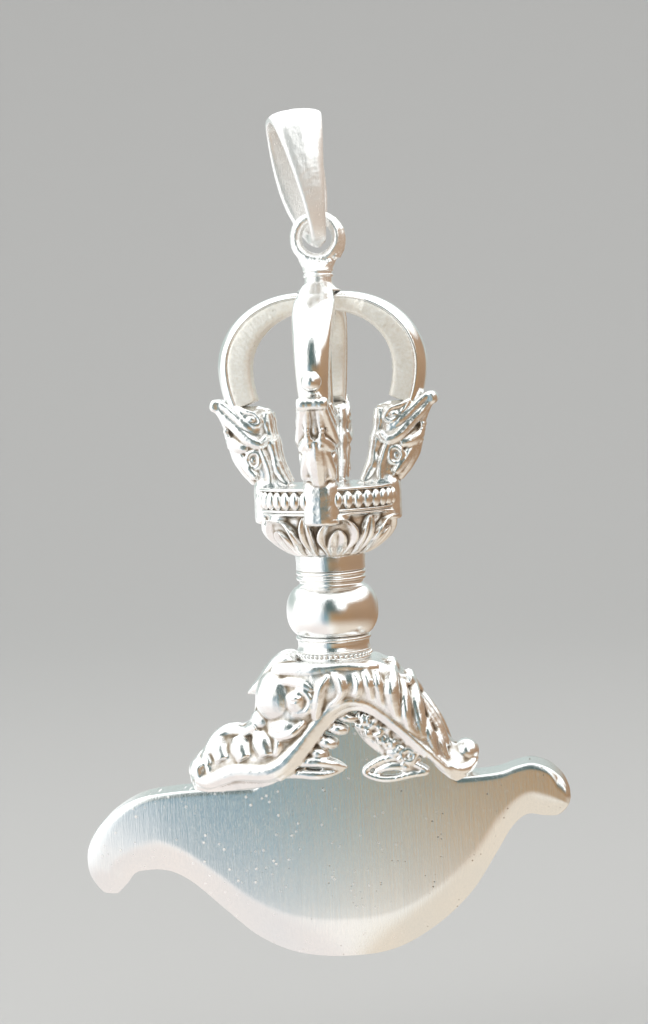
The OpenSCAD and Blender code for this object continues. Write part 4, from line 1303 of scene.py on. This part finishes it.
FLOOR_GREY = (0.52, 0.52, 0.51, 1)
HALF_GREY = (0.234, 0.234, 0.23, 1)
DIM_ROOM = (0.45, 0.45, 0.45, 1)
CEILING = (0.8, 0.82, 0.82, 1)
UNDER_FADE = (0.08, -0.17)
CARD_FADE = (-0.27, -0.66)
CEILING_FADE = (0.32, 0.5)
ROOM_STRENGTH = 2
FLOOR_DROP = 0.012
SWEEP_SIZE = 4
SWEEP_Y = -1.4
SWEEP_RISE = 1.2
SWEEP_BEND = 0.35
CAMERA_TURN = math.radians(6)
CAMERA_ROLL = math.radians(-2.45)
CAMERA_AWAY = 0.14
CAMERA_RISE = 0.02033
AIM_ASIDE = -0.00031
AIM_RISE = 0.01043
LENS = 69.4
LAMP_AIM = (0, 0, -0.03)
seat = hinge * MM + Vector((0, 0, seat_z * MM))

# Tones that the silver mirrors, at half their strength, by the turn of a direction: from the back over the
# left (0.25), the front (0.5) and the right (0.75) there are a window, the dim front and a brown wall
side_tones = [(0, (0.3, 0.34, 0.33, 1)), (0.19, (0.3, 0.34, 0.33, 1)), (0.22, (0.85, 0.85, 0.84, 1)),
              (0.435, (0.85, 0.85, 0.84, 1)), (0.458, (0.05, 0.08, 0.08, 1)),
              (0.57, (0.06, 0.08, 0.075, 1)), (0.6, (0.24, 0.16, 0.1, 1)), (0.88, (0.22, 0.15, 0.1, 1)),
              (0.93, (0.3, 0.33, 0.32, 1))]
under_tones = [(0.36, (0.65, 0.65, 0.65, 1)), (0.43, (0.55, 0.57, 0.58, 1)), (0.453, (0.05, 0.12, 0.18, 1)),
               (0.478, (0.14, 0.23, 0.26, 1)), (0.49, (0.22, 0.26, 0.21, 1)), (0.497, (0.26, 0.18, 0.1, 1)),
               (0.53, (0.23, 0.14, 0.07, 1)), (0.7, (0.2, 0.13, 0.08, 1))]
card_tones = [(0.45, (0.5, 0.465, 0.45, 1)), (0.485, (0.56, 0.545, 0.53, 1)),
              (0.51, (0.54, 0.52, 0.485, 1)), (0.56, (0.45, 0.4, 0.34, 1))]


def room_light(way):
    """Half the light that comes from a direction, with a white ceiling and a pale card close underneath."""
    way = way.node("VectorMath", {0: way}, operation="NORMALIZE")
    x, y, z = (way.node("SeparateXYZ", {0: way}, axis) for axis in range(3))
    turn = way.math("ARCTAN2", x, 0 - y).ramp(-math.pi, math.pi)
    side = turn.node("ValToRGB", {0: turn}, stops=side_tones)
    under = turn.node("ValToRGB", {0: turn}, stops=under_tones)
    card = turn.node("ValToRGB", {0: turn}, stops=card_tones)
    colour = z.ramp(*UNDER_FADE).tint(side, under)
    colour = z.ramp(*CARD_FADE).tint(colour, card)
    # The viewer hides the lower ceiling, which reaches further down in the gap at the viewer's right
    viewer = turn.ramp(0.44, 0.47) * turn.ramp(0.55, 0.53)
    gap = turn.ramp(0.535, 0.555) * turn.ramp(0.63, 0.6)
    return (z - 0.3 * viewer + 0.34 * gap).ramp(*CEILING_FADE).tint(colour, CEILING)


def studio():
    """A pale sweep of floor and backdrop below and behind the hanging pendant."""
    low = cad_box[0].z - FLOOR_DROP
    start()
    bpy.ops.mesh.primitive_plane_add(size=SWEEP_SIZE, location=(0, SWEEP_Y, low))
    floor = bpy.context.object
    bpy.ops.object.mode_set(mode="EDIT")
    bpy.ops.mesh.select_mode(type="EDGE")
    bpy.ops.mesh.select_all(action="DESELECT")
    bpy.ops.object.mode_set(mode="OBJECT")
    for edge in floor.data.edges:
        edge.select = all(floor.data.vertices[i].co.y > 1 for i in edge.vertices)
    bpy.ops.object.mode_set(mode="EDIT")
    bpy.ops.mesh.extrude_region_move(TRANSFORM_OT_translate={"value": (0, 0, SWEEP_RISE)})
    bpy.ops.object.mode_set(mode="OBJECT")
    modify(floor, "BEVEL", width=SWEEP_BEND, segments=16, limit_method="ANGLE")
    bpy.ops.object.shade_smooth()
    floor.name = "pale_sweep"
    floor.data.materials.append(sweep_finish())


def sweep_finish():
    """Pale to the eye; in the silver it shows the tones of the room."""
    material = bpy.data.materials.new("pale_sweep")
    material.use_nodes = True
    tree = material.node_tree
    pale = tree.nodes["Principled BSDF"]
    pale.inputs["Base Color"].default_value = FLOOR_GREY
    pale.inputs["Roughness"].default_value = 0.7
    base = Shade(tree)
    place = base.node("NewGeometry", output="Position")
    way = place.node("VectorMath", {0: place, 1: seat}, operation="SUBTRACT")
    glow = base.node("Emission", {"Color": room_light(way), "Strength": ROOM_STRENGTH})
    mirrored = base.node("LightPath", output="Is Glossy Ray")
    both = base.node("MixShader", {0: mirrored, 1: Shade(tree, pale.outputs[0]), 2: glow})
    base.feed(tree.nodes["Material Output"].inputs[0], both)
    return material


def lamp(name, place, size, power, colour):
    start()
    bpy.ops.object.light_add(type="AREA", location=place)
    light = bpy.context.object
    light.name = name
    light.data.shape = "RECTANGLE"
    light.data.size, light.data.size_y = size
    light.data.energy = power
    light.data.color = colour
    light.rotation_euler = (Vector(LAMP_AIM) - Vector(place)).to_track_quat("-Z", "Y").to_euler()
    light.visible_glossy = False


def room():
    """The room round the pendant: its tones in the silver, an even dim light on the floor."""
    world = bpy.data.worlds.new("room")
    world.use_nodes = True
    bpy.context.scene.world = world
    tree = world.node_tree
    base = Shade(tree)
    way = base.node("TexCoord", output="Generated")
    mirrored = base.node("LightPath", output="Is Glossy Ray")
    colour = mirrored.tint(DIM_ROOM, room_light(way))
    seen = base.node("LightPath", output="Is Camera Ray")
    colour = seen.tint(colour, HALF_GREY)
    base.feed(tree.nodes["Background"].inputs["Color"], colour)
    base.feed(tree.nodes["Background"].inputs["Strength"], ROOM_STRENGTH)


def camera():
    """The photograph's view: a little from the right and above, rolled so that the handle leans left."""
    place = seat + Vector((CAMERA_AWAY * math.sin(CAMERA_TURN), 0, CAMERA_RISE))
    place.y = -CAMERA_AWAY * math.cos(CAMERA_TURN)
    aim = Vector((seat.x + AIM_ASIDE, 0, seat.z + AIM_RISE))
    start()
    bpy.ops.object.camera_add(location=place)
    view = bpy.context.object
    view.rotation_mode = "QUATERNION"
    view.rotation_quaternion = (aim - place).to_track_quat("-Z", "Y") @ Quaternion((0, 0, 1), CAMERA_ROLL)
    view.data.lens = LENS
    view.data.clip_start = 0.01
    bpy.context.scene.camera = view


studio()
lamp("window_left", (-0.2, -0.2, 0.1), (0.14, 0.2), 0.26, (1, 0.99, 0.97))
lamp("top_soft", (0.0, -0.02, 0.24), (0.2, 0.2), 0.3, (1, 1, 1))
lamp("warm_right", (0.24, -0.12, 0.0), (0.06, 0.2), 0.04, (1, 0.82, 0.64))
room()
camera()
bpy.context.scene.view_settings.view_transform = "Standard"
